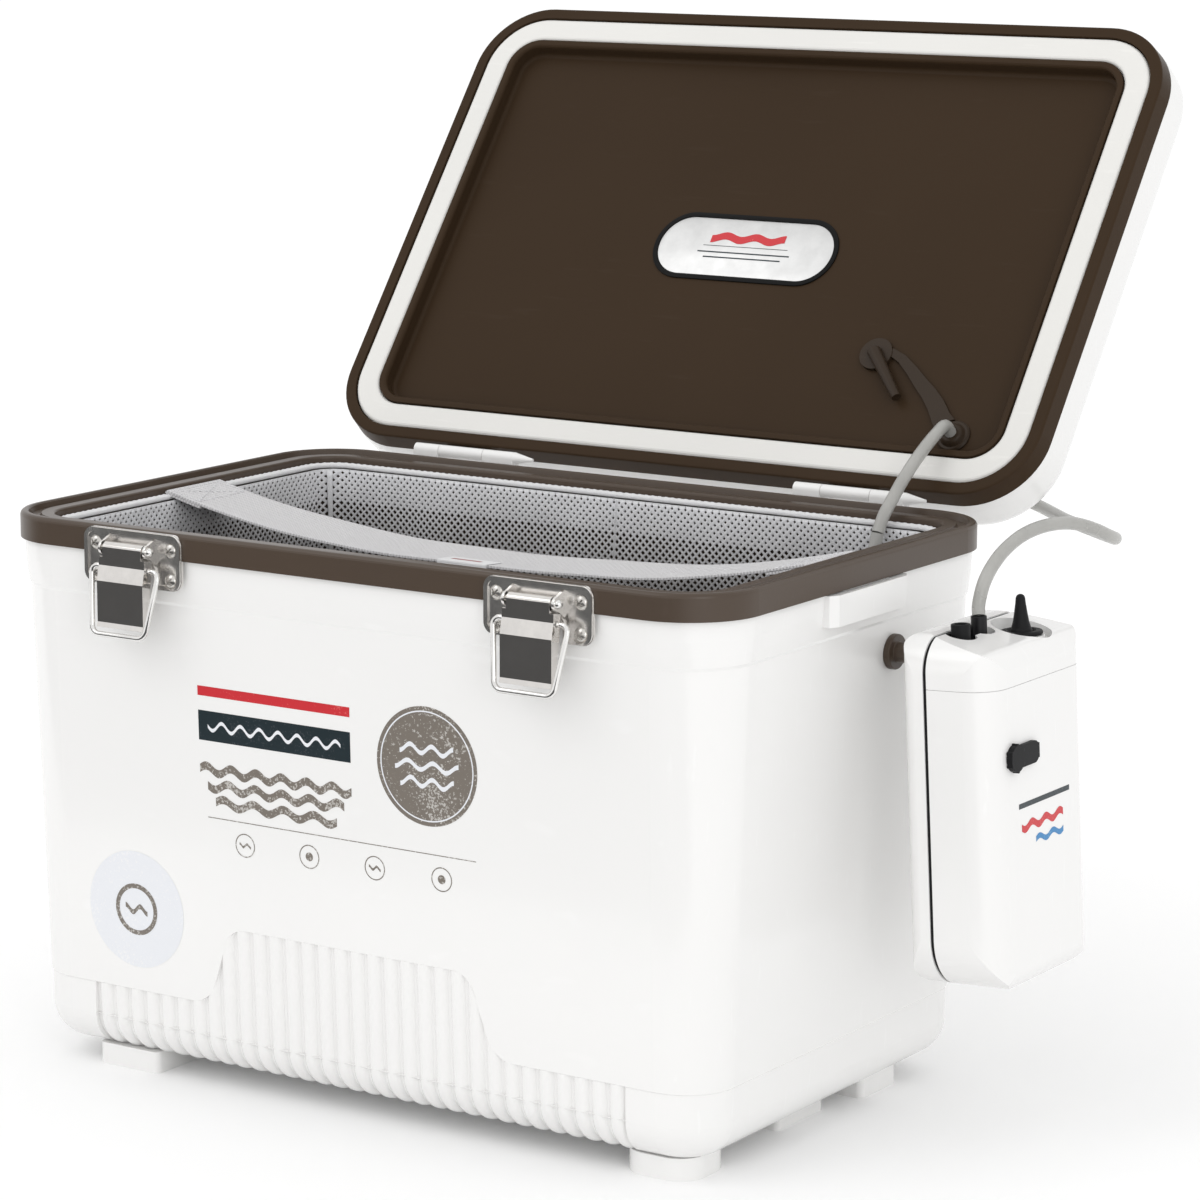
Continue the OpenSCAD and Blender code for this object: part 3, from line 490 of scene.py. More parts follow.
@dataclass(frozen=True)
class Ink:
    """Printed film with small worn flecks."""

    name: str
    colour: Colour
    ground: Colour
    wear: float = 0.6
    roughness: float = 0.34

    def build(self, effects: Effects) -> Material:
        """Makes the material."""
        material, g, shader = start_material(self.name)
        worn = use_group(g, effects.dust, Scale=900.0, Share=0.52 + 0.1 * (1 - self.wear))
        surface = use_group(g, effects.moulded, Scale=1500.0, Scuffs=0.2)
        g.feed(shader, Base_Color=g.mix(worn.outputs["Fleck"], rgba(self.colour), rgba(self.ground)))
        g.feed(shader, Roughness=self.roughness)
        add_bump(g, shader, surface.outputs["Height"], 0.00002)
        return material


class Finish(Enum):
    """Every finish on the object, with the record slot that it belongs to."""

    WHITE = ("white_plastic", Moulding("white_gloss", (0.885, 0.88, 0.87), roughness=0.22, shade=0.985,
                                       coat=0.25, grain=700.0, depth=0.000012, scuffs=0.15))
    # BROWN and LID_BROWN_SHADED are one brown plastic in two tones: the lighter tone stands for where light
    # falls and the lid panel's darker tone is painted shade
    BROWN = ("brown_plastic", Moulding("brown_satin", (0.074, 0.052, 0.037), roughness=0.32, shade=0.92,
                                       grain=1300.0, depth=0.00003, scuffs=0.1, shine=0.35))
    LID_BROWN_SHADED = ("brown_plastic", Moulding("brown_panel_shaded", (0.046, 0.028, 0.0155), roughness=0.36,
                                           shade=0.92, grain=1300.0, depth=0.00003, scuffs=0.1,
                                           shine=0.06))
    BROWN_RUBBER = ("dark_brown_rubber", Moulding("brown_rubber", (0.038, 0.024, 0.014), roughness=0.4,
                                                  shade=0.88, grain=1500.0, scuffs=0.15, shine=0.2))
    BLACK = ("black_plastic", Moulding("black_satin", (0.01, 0.01, 0.011), roughness=0.36, shade=0.85,
                                       grain=1400.0, scuffs=0.2, shine=0.25))
    BLACK_RUBBER = ("black_rubber", Moulding("black_rubber_skin", (0.008, 0.008, 0.009), roughness=0.5,
                                             shade=0.85, grain=1600.0, scuffs=0.2, shine=0.2))
    GASKET = ("gasket", Moulding("ivory_seal", (0.80, 0.79, 0.76), roughness=0.42, shade=0.96,
                                 depth=0.00003, scuffs=0.2, sheen=0.1))
    STEEL = ("polished_steel", Steel("polished_steel", (0.74, 0.715, 0.69), roughness=0.06, smear=0.07))
    PLATE = ("polished_steel", Steel("satin_steel", (0.80, 0.78, 0.755), roughness=0.2, smear=0.08))
    WIRE = ("bright_wire", Steel("bright_wire", (0.82, 0.81, 0.795), roughness=0.07, smear=0.05))
    SCREW = ("zinc_screw", Steel("zinc_plate", (0.62, 0.6, 0.57), roughness=0.2, smear=0.12,
                                 lines=1800.0, depth=0.000008))
    SILVER = ("silver_plate", Steel("silver_sheet", (0.74, 0.74, 0.735), roughness=0.45, smear=0.02,
                                    lines=3200.0, depth=0.000008))
    # the net's darker colour low in the box is painted shade
    NET = ("net", Knit("white_net", (0.84, 0.84, 0.86), painted_shade=(0.24, 0.23, 0.225)))
    WEBBING = ("webbing", Cloth("white_webbing", (0.72, 0.71, 0.72), threads=640.0, shade=0.62,
                                depth=0.0004))
    HEM = ("net", Cloth("hem_cloth", (0.84, 0.84, 0.85), threads=1500.0, shade=0.8, depth=0.00012))
    STRIPE = ("webbing", Cloth("dull_red_thread", (0.36, 0.1, 0.1), threads=1400.0, shade=0.7,
                               depth=0.0001))
    STONE = ("stone", Grit("air_stone", (0.22, 0.27, 0.32), dark=(0.08, 0.1, 0.12), scale=420.0,
                           depth=0.0005))
    FOAM = ("foam", Grit("cream_foam", (0.84, 0.76, 0.52), dark=(0.72, 0.64, 0.42), scale=500.0,
                         depth=0.0003))
    HOSE = ("hose", Tubing("milky_hose", (0.50, 0.495, 0.47)))
    PRINT_GREY = ("white_plastic", Ink("grey_brown_print", (0.19, 0.165, 0.14),
                                       ground=(0.52, 0.5, 0.47)))
    PRINT_DARK = ("white_plastic", Ink("dark_print", (0.01, 0.022, 0.028), ground=(0.05, 0.06, 0.07),
                                       wear=0.3))
    PRINT_RED = ("white_plastic", Ink("red_print", (0.60, 0.02, 0.03), ground=(0.7, 0.1, 0.1),
                                      wear=0.2))
    PRINT_BLUE = ("white_plastic", Ink("blue_print", (0.03, 0.22, 0.5), ground=(0.2, 0.4, 0.6),
                                       wear=0.2))
    PRINT_PALE = ("white_plastic", Ink("pale_film", (0.80, 0.815, 0.85), ground=(0.85, 0.855, 0.87),
                                       wear=0.4, roughness=0.3))
    FRAME_DARK = ("silver_plate", Moulding("dark_frame", (0.008, 0.008, 0.008), roughness=0.4,
                                           shade=0.9, grain=1500.0, depth=0.00002, scuffs=0.1,
                                           shine=0.08))

    @property
    def slot(self) -> str:
        """The record's material slot."""
        return self.value[0]


class Paintbox:
    """Builds each finish's material the first time that it is asked for."""

    def __init__(self) -> None:
        """Builds the shared effects."""
        self.effects = Effects()
        self.made: dict[Finish, Material] = {}

    def get(self, finish: Finish) -> Material:
        """The finish's material."""
        if finish not in self.made:
            self.made[finish] = finish.value[1].build(self.effects)
        return self.made[finish]

    def dress(self, node: str, finish: Finish) -> None:
        """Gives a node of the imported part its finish."""
        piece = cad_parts[node]
        piece.data.materials.clear()
        piece.data.materials.append(self.get(finish))

    def dress_all(self, finishes: dict[Finish, Sequence[str]]) -> None:
        """Gives several nodes their finishes."""
        for finish, nodes in finishes.items():
            for node in nodes:
                self.dress(node, finish)


# ---------------------------------------------------------------- mesh helpers


def to_object(name: str, mesh: Mesh, material: Material, smooth: bool = True) -> Object:
    """Turns a bmesh into an object at the origin.

    Args:
        name: the object's name.
        mesh: the bmesh, which is freed.
        material: its material.
        smooth: whether its faces are shaded smooth.

    Returns:
        The new object.
    """
    data = bpy.data.meshes.new(name)
    mesh.to_mesh(data)
    mesh.free()
    return link_mesh(name, data, material, smooth)


def link_mesh(name: str, data: bpy.types.Mesh, material: Material, smooth: bool = True) -> Object:
    """Gives mesh data its only material and its shading, and puts it into the scene under a name."""
    data.materials.clear()
    data.materials.append(material)
    data.shade_smooth() if smooth else data.shade_flat()
    return link_object(name, data)


def link_object(name: str, data: bpy.types.ID) -> Object:
    """Puts any data into the scene as an object."""
    thing = bpy.data.objects.new(name, data)
    bpy.context.scene.collection.objects.link(thing)
    return thing


def move_points(mesh: Mesh, place: Callable[[Vector], Vector]) -> None:
    """Moves every vertex to where a function puts it."""
    for vert in mesh.verts:
        vert.co = place(vert.co)


def flat_grid(width: float, height: float, columns: int, rows: int) -> Mesh:
    """A flat grid about the origin in X and Y, with a UV map in metres.

    Args:
        width: size along X in millimetres.
        height: size along Y in millimetres.
        columns: faces along X.
        rows: faces along Y.

    Returns:
        The bmesh, in millimetres.
    """
    mesh = bmesh.new()
    bmesh.ops.create_grid(mesh, x_segments=columns, y_segments=rows, size=0.5)
    bmesh.ops.scale(mesh, verts=mesh.verts, vec=(width, height, 1))
    map_flat(mesh)
    return mesh


def map_flat(mesh: Mesh) -> None:
    """Lays a UV map in metres over a flat mesh in millimetres."""
    layer = mesh.loops.layers.uv.verify()
    for face in mesh.faces:
        for loop in face.loops:
            loop[layer].uv = (loop.vert.co.x * MM, loop.vert.co.y * MM)


def seat(piece: Object, body: str, finish: Finish, stands_for: str = "") -> Object:
    """Puts a piece on its body and, where it has one, in a node's place."""
    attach(piece, body)
    finish.slot
    if stands_for:
        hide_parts(stands_for)
    return piece


def node_mesh(node: str) -> Mesh:
    """Copy of a node's mesh whose faces share their vertices."""
    mesh = bmesh.new()
    mesh.from_mesh(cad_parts[node].data)
    bmesh.ops.remove_doubles(mesh, verts=mesh.verts, dist=TOUCH)
    return mesh


def add_modifier(piece: Object, kind: str, **settings: object) -> None:
    """Adds a modifier with its settings."""
    modifier = piece.modifiers.new(kind.lower(), kind)
    for name, value in settings.items():
        setattr(modifier, name, value)


def soften(
    paint: Paintbox, node: str, body: str, finish: Finish, width: float, angle: float = 32.0
) -> Object:
    """Puts a copy with rounded edges in a node's place.

    Args:
        paint: the paintbox.
        node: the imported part's node.
        body: the body that it moves with.
        finish: the copy's finish.
        width: width of the rounded edges in millimetres.
        angle: edges sharper than this are rounded, in degrees.

    Returns:
        The copy.
    """
    mesh = node_mesh(node)
    bmesh.ops.dissolve_limit(mesh, angle_limit=FLAT, verts=mesh.verts, edges=mesh.edges)
    piece = to_object(node + "_edged", mesh, paint.get(finish))
    add_modifier(piece, "BEVEL", width=width * MM, segments=2, limit_method="ANGLE",
                 angle_limit=math.radians(angle), use_clamp_overlap=True)
    add_modifier(piece, "WEIGHTED_NORMAL", mode="FACE_AREA", weight=90)
    return seat(piece, body, finish, node)


# ---------------------------------------------------------------- net liner


class Side(Enum):
    """The four walls of the net: quarter turns from the front, and half the straight length of each."""

    FRONT = (0, BOX.corner_x, BOX.corner_y)
    RIGHT = (1, BOX.corner_y, BOX.corner_x)
    BACK = (2, BOX.corner_x, BOX.corner_y)
    LEFT = (3, BOX.corner_y, BOX.corner_x)

    @property
    def turns(self) -> int:
        """Quarter turns from the front."""
        return self.value[0]

    @property
    def half(self) -> float:
        """Half the straight length, in millimetres."""
        return self.value[1]

    @property
    def out(self) -> float:
        """Distance from the middle of the box to the corner centres, square to the wall."""
        return self.value[2]


@dataclass
class NetLiner:
    """Sewn bag of knitted net with a hem, seam tapes and a carrying strap. Sizes in millimetres."""

    paint: Paintbox
    floor_z: float = 50.0
    top_z: float = 238.4
    radius_low: float = 5.0
    radius_top: float = 10.7
    fillet: float = 4.0
    pitch: float = 2.5
    yarn: float = 0.95
    close_yarn: float = 1.45
    close_band: float = 15.0
    thickness: float = 0.45
    corner_run: float = 12.6
    tape_wide: float = 2.2
    tape_lift: float = 0.6
    tape_foot: float = 5.0
    slack: float = 4.2
    hem_radii: Pair = (12.4, 17.3)
    hem_heights: Pair = (238.3, 240.6)
    hem_gathers: int = 150
    hem_stitches: int = 300
    strap_end: float = 167.4
    strap_width: float = 38.0
    strap_thick: float = 1.1
    strap_top: float = 242.3
    strap_sag: float = 17.0
    strap_rise: float = 2.6
    fold_start: float = 0.7
    fold_radius: float = 0.62
    flap: float = 19.0
    hose_x: float = 135.0
    stitch: float = 3.0
    tag_x: float = -4.0
    tag_wide: float = 26.0
    tag_run: float = 19.0
    tag_on_top: float = 10.5
    pieces: list[Object] = field(default_factory=list)

    def on_wall(self, side: Side, along: float, up: float, inward: float = 0.0) -> Vector:
        """Place on a wall of the bag.

        Args:
            side: which wall.
            along: millimetres along the wall from its middle.
            up: millimetres up the wall from the edge of the floor.
            inward: millimetres off the wall, towards the inside.

        Returns:
            The place in metres.
        """
        turn = min(up / self.fillet, math.pi / 2)
        if turn < math.pi / 2:
            radius = self.radius_low - self.fillet + (self.fillet - inward) * math.sin(turn)
            z = self.floor_z + self.fillet - (self.fillet - inward) * math.cos(turn)
        else:
            z = self.floor_z + self.fillet + up - self.fillet * math.pi / 2
            share = (z - self.floor_z) / (self.top_z - self.floor_z)
            radius = self.radius_low + (self.radius_top - self.radius_low) * share - inward
        over = max(0.0, abs(along) - side.half) / self.corner_run * math.pi / 2
        x = math.copysign(min(abs(along), side.half) + radius * math.sin(over), along)
        flat = Vector((x, -side.out - radius * math.cos(over), z)) * MM
        return Matrix.Rotation(side.turns * math.pi / 2, 3, "Z") @ flat

    @property
    def wall_run(self) -> float:
        """Length of a wall from the edge of the floor to the ledge."""
        return self.top_z - self.floor_z - self.fillet + self.fillet * math.pi / 2

    def sag_in(self, side: Side, along: float, up: float) -> float:
        """How far the slack net stands off its wall at a place, in millimetres."""
        share = max(0.0, min(1.0, up / self.wall_run))
        swell = math.sin(math.pi * share) ** 0.7
        wave = noise.noise(Vector((along * 0.022, up * 0.013, side.turns * 7.3)))
        crease = noise.noise(Vector((along * 0.06 + up * 0.03, up * 0.025, side.turns * 3.1 + 20)))
        depth = self.slack * swell * max(0.0, 0.45 + 0.7 * wave + 0.45 * crease)
        if side is Side.BACK:
            near = min(1.0, abs(-along - self.hose_x) / 40)
            depth *= near * near
        return depth

    def lattice(self, width: float, height: float) -> Mesh:
        """Flat net with diamond holes, whose rims are solid.

        Args:
            width: size along X in millimetres.
            height: size along Y in millimetres.

        Returns:
            The bmesh about the origin, in millimetres.
        """
        mesh = bmesh.new()
        count = math.ceil((width + height) / math.sqrt(2) / self.pitch / 2) * 2 + 2
        bmesh.ops.create_grid(mesh, x_segments=count, y_segments=count, size=0.5)
        bmesh.ops.scale(mesh, verts=mesh.verts, vec=(count * self.pitch, count * self.pitch, 1))
        bmesh.ops.rotate(mesh, verts=mesh.verts, matrix=Matrix.Rotation(math.pi / 4, 3, "Z"))
        cuts = (((1, 0, 0), width), ((-1, 0, 0), width), ((0, 1, 0), height), ((0, -1, 0), height))
        for normal, reach in cuts:
            bmesh.ops.bisect_plane(mesh, geom=mesh.verts[:] + mesh.edges[:] + mesh.faces[:], dist=1e-4,
                                   plane_co=Vector(normal) * reach / 2, plane_no=normal, clear_outer=True)
        holes = [face for face in mesh.faces if face.calc_area() > 0.45 * self.pitch**2]
        edge = height / 2 - self.close_band
        close = [face for face in holes if face.calc_center_median().y > edge]
        wide = [face for face in holes if face.calc_center_median().y <= edge]
        for faces, yarn in ((close, self.close_yarn), (wide, self.yarn)):
            bmesh.ops.inset_individual(mesh, faces=faces, thickness=yarn / 2, use_even_offset=True)
        bmesh.ops.delete(mesh, geom=holes, context="FACES")
        return mesh

    def panel(self, side: Side, part: int, parts: int) -> Object:
        """One length of a wall of the net, hung on its side of the box.

        Args:
            side: which wall.
            part: which length, from 0.
            parts: number of lengths in the wall.

        Returns:
            The panel.
        """
        width = (2 * side.half + self.corner_run) / parts
        middle = (part + 0.5 - parts / 2) * width
        mesh = self.lattice(width, self.wall_run)

        def hang(flat: Vector) -> Vector:
            along, up = flat.x + middle, flat.y + self.wall_run / 2
            return self.on_wall(side, along, up, self.sag_in(side, along, up))

        move_points(mesh, hang)
        bmesh.ops.recalc_face_normals(mesh, faces=mesh.faces)
        piece = to_object(f"net_wall_{side.name.lower()}_{part + 1}", mesh, self.paint.get(Finish.NET))
        self.finish(piece, width, self.wall_run)
        return piece

    def floor(self) -> Object:
        """Bottom of the net, which rises a little in places."""
        inset = self.radius_low - self.fillet
        width, depth = 2 * (BOX.corner_x + inset), 2 * (BOX.corner_y + inset)
        mesh = self.lattice(width, depth)

        def lay(flat: Vector) -> Vector:
            edge = (1 - (2 * flat.x / width) ** 4) * (1 - (2 * flat.y / depth) ** 4)
            lift = 1.6 * edge * max(0.0, 0.5 + noise.noise(Vector((flat.x * 0.02, flat.y * 0.025, 4.0))))
            return Vector((flat.x, flat.y, self.floor_z + 0.3 + lift)) * MM

        move_points(mesh, lay)
        piece = to_object("net_floor", mesh, self.paint.get(Finish.NET))
        self.finish(piece, width, depth)
        return piece

    def finish(self, piece: Object, width: float, height: float) -> None:
        """Gives a net panel its thickness and its body."""
        add_modifier(piece, "SOLIDIFY", thickness=self.thickness * MM, offset=0.0)
        seat(piece, "net", Finish.NET)
        self.pieces.append(piece)

    def tapes(self) -> Object:
        """Narrow seams up the four corners and round the floor."""
        mesh = bmesh.new()
        for side in Side:
            upright = flat_grid(self.tape_wide, self.wall_run - 1, 4, 60)
            seam = side.half + self.corner_run / 2

            def stand(flat: Vector, side: Side = side, seam: float = seam) -> Vector:
                up = flat.y + self.wall_run / 2
                along = seam + flat.x
                inward = self.sag_in(side, min(along, seam), up) + self.tape_lift
                if along > seam:
                    following = list(Side)[(side.turns + 1) % 4]
                    past = along - seam - following.half - self.corner_run / 2
                    return self.on_wall(following, past, up, inward)
                return self.on_wall(side, along, up, inward)

            foot = flat_grid(2 * side.half + self.corner_run, 3, 90, 4)

            def lie(flat: Vector, side: Side = side) -> Vector:
                up = flat.y + self.tape_foot
                return self.on_wall(side, flat.x, up, self.sag_in(side, flat.x, up) + self.tape_lift)

            for strip, place in ((upright, stand), (foot, lie)):
                move_points(strip, place)
                part = bpy.data.meshes.new("strip")
                strip.to_mesh(part)
                strip.free()
                mesh.from_mesh(part)
                bpy.data.meshes.remove(part)
        piece = to_object("net_seam", mesh, self.paint.get(Finish.NET))
        add_modifier(piece, "SOLIDIFY", thickness=0.4 * MM, offset=0.0)
        return seat(piece, "net", Finish.NET)

    def hem(self) -> Object:
        """Puffed hem that lies on the ledge all the way round."""
        around, about = 420, 14
        radius = sum(self.hem_radii) / 2
        height = sum(self.hem_heights) / 2
        half_width = (self.hem_radii[1] - self.hem_radii[0]) / 2
        half_height = (self.hem_heights[1] - self.hem_heights[0]) / 2
        mesh = flat_grid(around, about, around, about)
        layer = mesh.loops.layers.uv.verify()
        for face in mesh.faces:
            for loop in face.loops:
                loop[layer].uv = (loop.vert.co.x * 2.4 * MM, loop.vert.co.y * 1.0 * MM)

        def wrap(flat: Vector) -> Vector:
            share = flat.x / around + 0.5
            turn = (flat.y / about + 0.5) * 2 * math.pi
            pinch = 1 - 0.1 * (0.5 + 0.5 * math.cos(share * 2 * math.pi * self.hem_gathers))
            across = math.copysign(abs(math.cos(turn)) ** 0.55, math.cos(turn)) * half_width
            rise = math.copysign(abs(math.sin(turn)) ** 0.75, math.sin(turn)) * half_height
            spot = ring_point(share, radius + across)
            return Vector((spot.x, spot.y, (height + rise * (pinch if rise > 0 else 1.0)) * MM))

        move_points(mesh, wrap)
        bmesh.ops.remove_doubles(mesh, verts=mesh.verts, dist=5e-6)
        bmesh.ops.recalc_face_normals(mesh, faces=mesh.faces)
        piece = to_object("net_hem_cloth", mesh, self.paint.get(Finish.HEM))
        return seat(piece, "net", Finish.HEM, "net_hem")

    def strap_line(self, run: float) -> Vector:
        """Point of the strap's middle line, a distance from its middle, as (x, 0, z) in millimetres."""
        fold = self.strap_end - self.fold_start
        size = min(abs(run), fold)
        rise = (size / self.strap_end) ** self.strap_rise
        x, z = size, self.strap_top - self.strap_sag * (1 - rise)
        left = abs(run) - size
        bend = self.fold_radius * math.pi
        if left > 0:
            turn = min(left / bend, 1.0) * math.pi
            x += self.fold_radius * math.sin(turn)
            z -= self.fold_radius * (1 - math.cos(turn))
            back = max(0.0, left - bend)
            x -= back
            if back > 0:
                rise = ((fold - back) / self.strap_end) ** self.strap_rise
                z = self.strap_top - self.strap_sag * (1 - rise) - 2 * self.fold_radius
        return Vector((math.copysign(x, run), 0, z))

    def strap_spot(self, run: float, side: float) -> Vector:
        """Point of the strap's middle surface, in millimetres, at a distance along it and one across."""
        spot = self.strap_line(run)
        across = 2 * side / self.strap_width
        calm = max(0.0, 1 - (abs(run) / self.strap_end) ** 4)
        cup = 0.9 * calm * (1 - across * across)
        wander = 0.8 * calm * noise.noise(Vector((run * 0.02, across * 0.7, 1.5)))
        return Vector((spot.x, side, spot.z - cup + wander))

    def strap(self) -> Object:
        """Webbing that sags between the ends of the hem, each end folded under and sewn."""
        half = self.strap_end - self.fold_start + self.fold_radius * math.pi + self.flap
        mesh = flat_grid(2 * half, self.strap_width, 300, 12)

        move_points(mesh, lambda flat: self.strap_spot(flat.x, flat.y) * MM)
        piece = to_object("strap_webbing", mesh, self.paint.get(Finish.WEBBING))
        add_modifier(piece, "SOLIDIFY", thickness=self.strap_thick * MM, offset=0.0)
        add_modifier(piece, "BEVEL", width=0.3 * MM, segments=2, limit_method="ANGLE",
                     angle_limit=math.radians(60))
        seat(piece, "net", Finish.WEBBING, "net_strap")
        return piece

    def stitch_paths(self) -> list[tuple[Vector, Vector, float]]:
        """Start, end and lift of each sewn line: a crossed box at each end of the strap."""
        lines = []
        for sign in (-1, 1):
            near, far = sign * (self.strap_end - 17), sign * (self.strap_end - 2.8)
            wide = self.strap_width / 2 - 2.2
            corners = [Vector(at) for at in ((near, -wide), (far, -wide), (far, wide), (near, wide))]
            for a, b in ((0, 1), (1, 2), (2, 3), (3, 0), (0, 2), (1, 3)):
                lines.append((corners[a], corners[b], self.fold_radius))
        return lines

    def stitches(self) -> Object:
        """Thread of the strap's sewn boxes and of the hem."""
        mesh = bmesh.new()

        def sew(spot: Vector, heading: float, tilt: float, length: float) -> None:
            made = bmesh.ops.create_uvsphere(mesh, u_segments=6, v_segments=4, radius=1.0)["verts"]
            bmesh.ops.scale(mesh, verts=made, vec=(length / 2, 0.28, 0.2))
            bmesh.ops.rotate(mesh, verts=made, matrix=Matrix.Rotation(-tilt, 3, "Y"))
            bmesh.ops.rotate(mesh, verts=made, matrix=Matrix.Rotation(heading, 3, "Z"))
            bmesh.ops.translate(mesh, verts=made, vec=spot)

        for start, end, lift in self.stitch_paths():
            count = max(2, round((end - start).length / self.stitch))
            heading = math.atan2(end.y - start.y, end.x - start.x)
            for i in range(count):
                spot = start.lerp(end, (i + 0.5) / count)
                here, there = self.strap_line(spot.x), self.strap_line(spot.x + 0.5)
                tilt = math.atan2(there.z - here.z, 0.5) * math.cos(heading)
                sew(Vector((spot.x, spot.y, here.z + lift)), heading, tilt, self.stitch * 0.72)
        for i in range(self.hem_stitches):
            share = (i + 0.5) / self.hem_stitches
            spot, ahead = ring_point(share, 16.2) / MM, ring_point((share + 0.001) % 1, 16.2) / MM
            heading = math.atan2(ahead.y - spot.y, ahead.x - spot.x)
            sew(Vector((spot.x, spot.y, self.hem_heights[1] - 0.12)), heading, 0.0, 2.3)
        bmesh.ops.scale(mesh, verts=mesh.verts, vec=(MM, MM, MM))
        piece = to_object("net_stitches", mesh, self.paint.get(Finish.NET))
        return seat(piece, "net", Finish.NET)

    def tag(self) -> Object:
        """Small cloth tag folded over the strap's front edge."""
        front, lift = -self.strap_width / 2, self.strap_thick / 2 + 0.3

        def hang(flat: Vector) -> Vector:
            x, past = flat.x + self.tag_x, self.tag_on_top - (self.tag_run / 2 - flat.y)
            if past >= 0:
                spot = self.strap_spot(x, front + past)
                return (spot + Vector((0, 0, lift + flat.z))) * MM
            turn = min(-past / lift, math.pi / 2)
            drop = max(0.0, -past - lift * math.pi / 2)
            spot = self.strap_spot(x, front)
            reach = lift + flat.z
            return (spot + Vector((0, -reach * math.sin(turn), reach * math.cos(turn) - drop))) * MM

        mesh = flat_grid(self.tag_wide, self.tag_run, 26, 40)
        move_points(mesh, hang)
        piece = to_object("strap_tag_cloth", mesh, self.paint.get(Finish.HEM))
        add_modifier(piece, "SOLIDIFY", thickness=0.25 * MM, offset=0.0)
        seat(piece, "net", Finish.WEBBING, "strap_tag")
        stripes = flat_grid(15, 2.6, 20, 4)
        bmesh.ops.translate(stripes, verts=stripes.verts, vec=(-1, 3.6, 0.17))
        move_points(stripes, hang)
        printed = to_object("strap_tag_stripe", stripes, self.paint.get(Finish.STRIPE))
        add_modifier(printed, "SOLIDIFY", thickness=0.04 * MM, offset=0.0)
        seat(printed, "net", Finish.WEBBING)
        return piece

    def build(self) -> None:
        """Makes the whole liner."""
        for side in Side:
            parts = 2 if side in (Side.FRONT, Side.BACK) else 1
            for part in range(parts):
                self.panel(side, part, parts)
        self.floor()
        self.tapes()
        self.hem()
        self.strap()
        self.stitches()
        self.tag()
        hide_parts("net_bag")
        self.paint.dress("air_stone", Finish.STONE)
        log.info("net liner: %d panels, hem, strap, tag and stitches", len(self.pieces))


def ring_point(share: float, radius: float) -> Vector:
    """Point on a rounded rectangle about the box's corner centres.

    Args:
        share: part of the way round, from 0 to 1, from the middle of the front towards +x.
        radius: millimetres beyond the corner centres.

    Returns:
        The point in metres, at height 0.
    """
    long_side, short_side, arc = 2 * BOX.corner_x, 2 * BOX.corner_y, radius * math.pi / 2
    left = (share % 1.0) * (2 * (long_side + short_side) + 4 * arc) + long_side / 2
    for turn in range(4):
        run, out = (long_side, BOX.corner_y) if turn % 2 == 0 else (short_side, BOX.corner_x)
        if left <= run + arc or turn == 3:
            break
        left -= run + arc
    over = max(0.0, min(left - run, arc)) / max(radius, 1e-6)
    past = left - run - arc
    x = min(left, run) - run / 2 + radius * math.sin(over)
    flat = Vector((x, -out - radius * math.cos(over), 0)) * MM
    if turn == 3 and past > 0:
        return Vector((past - long_side / 2, -BOX.corner_y - radius, 0)) * MM
    return Matrix.Rotation(turn * math.pi / 2, 3, "Z") @ flat


# ---------------------------------------------------------------- air line


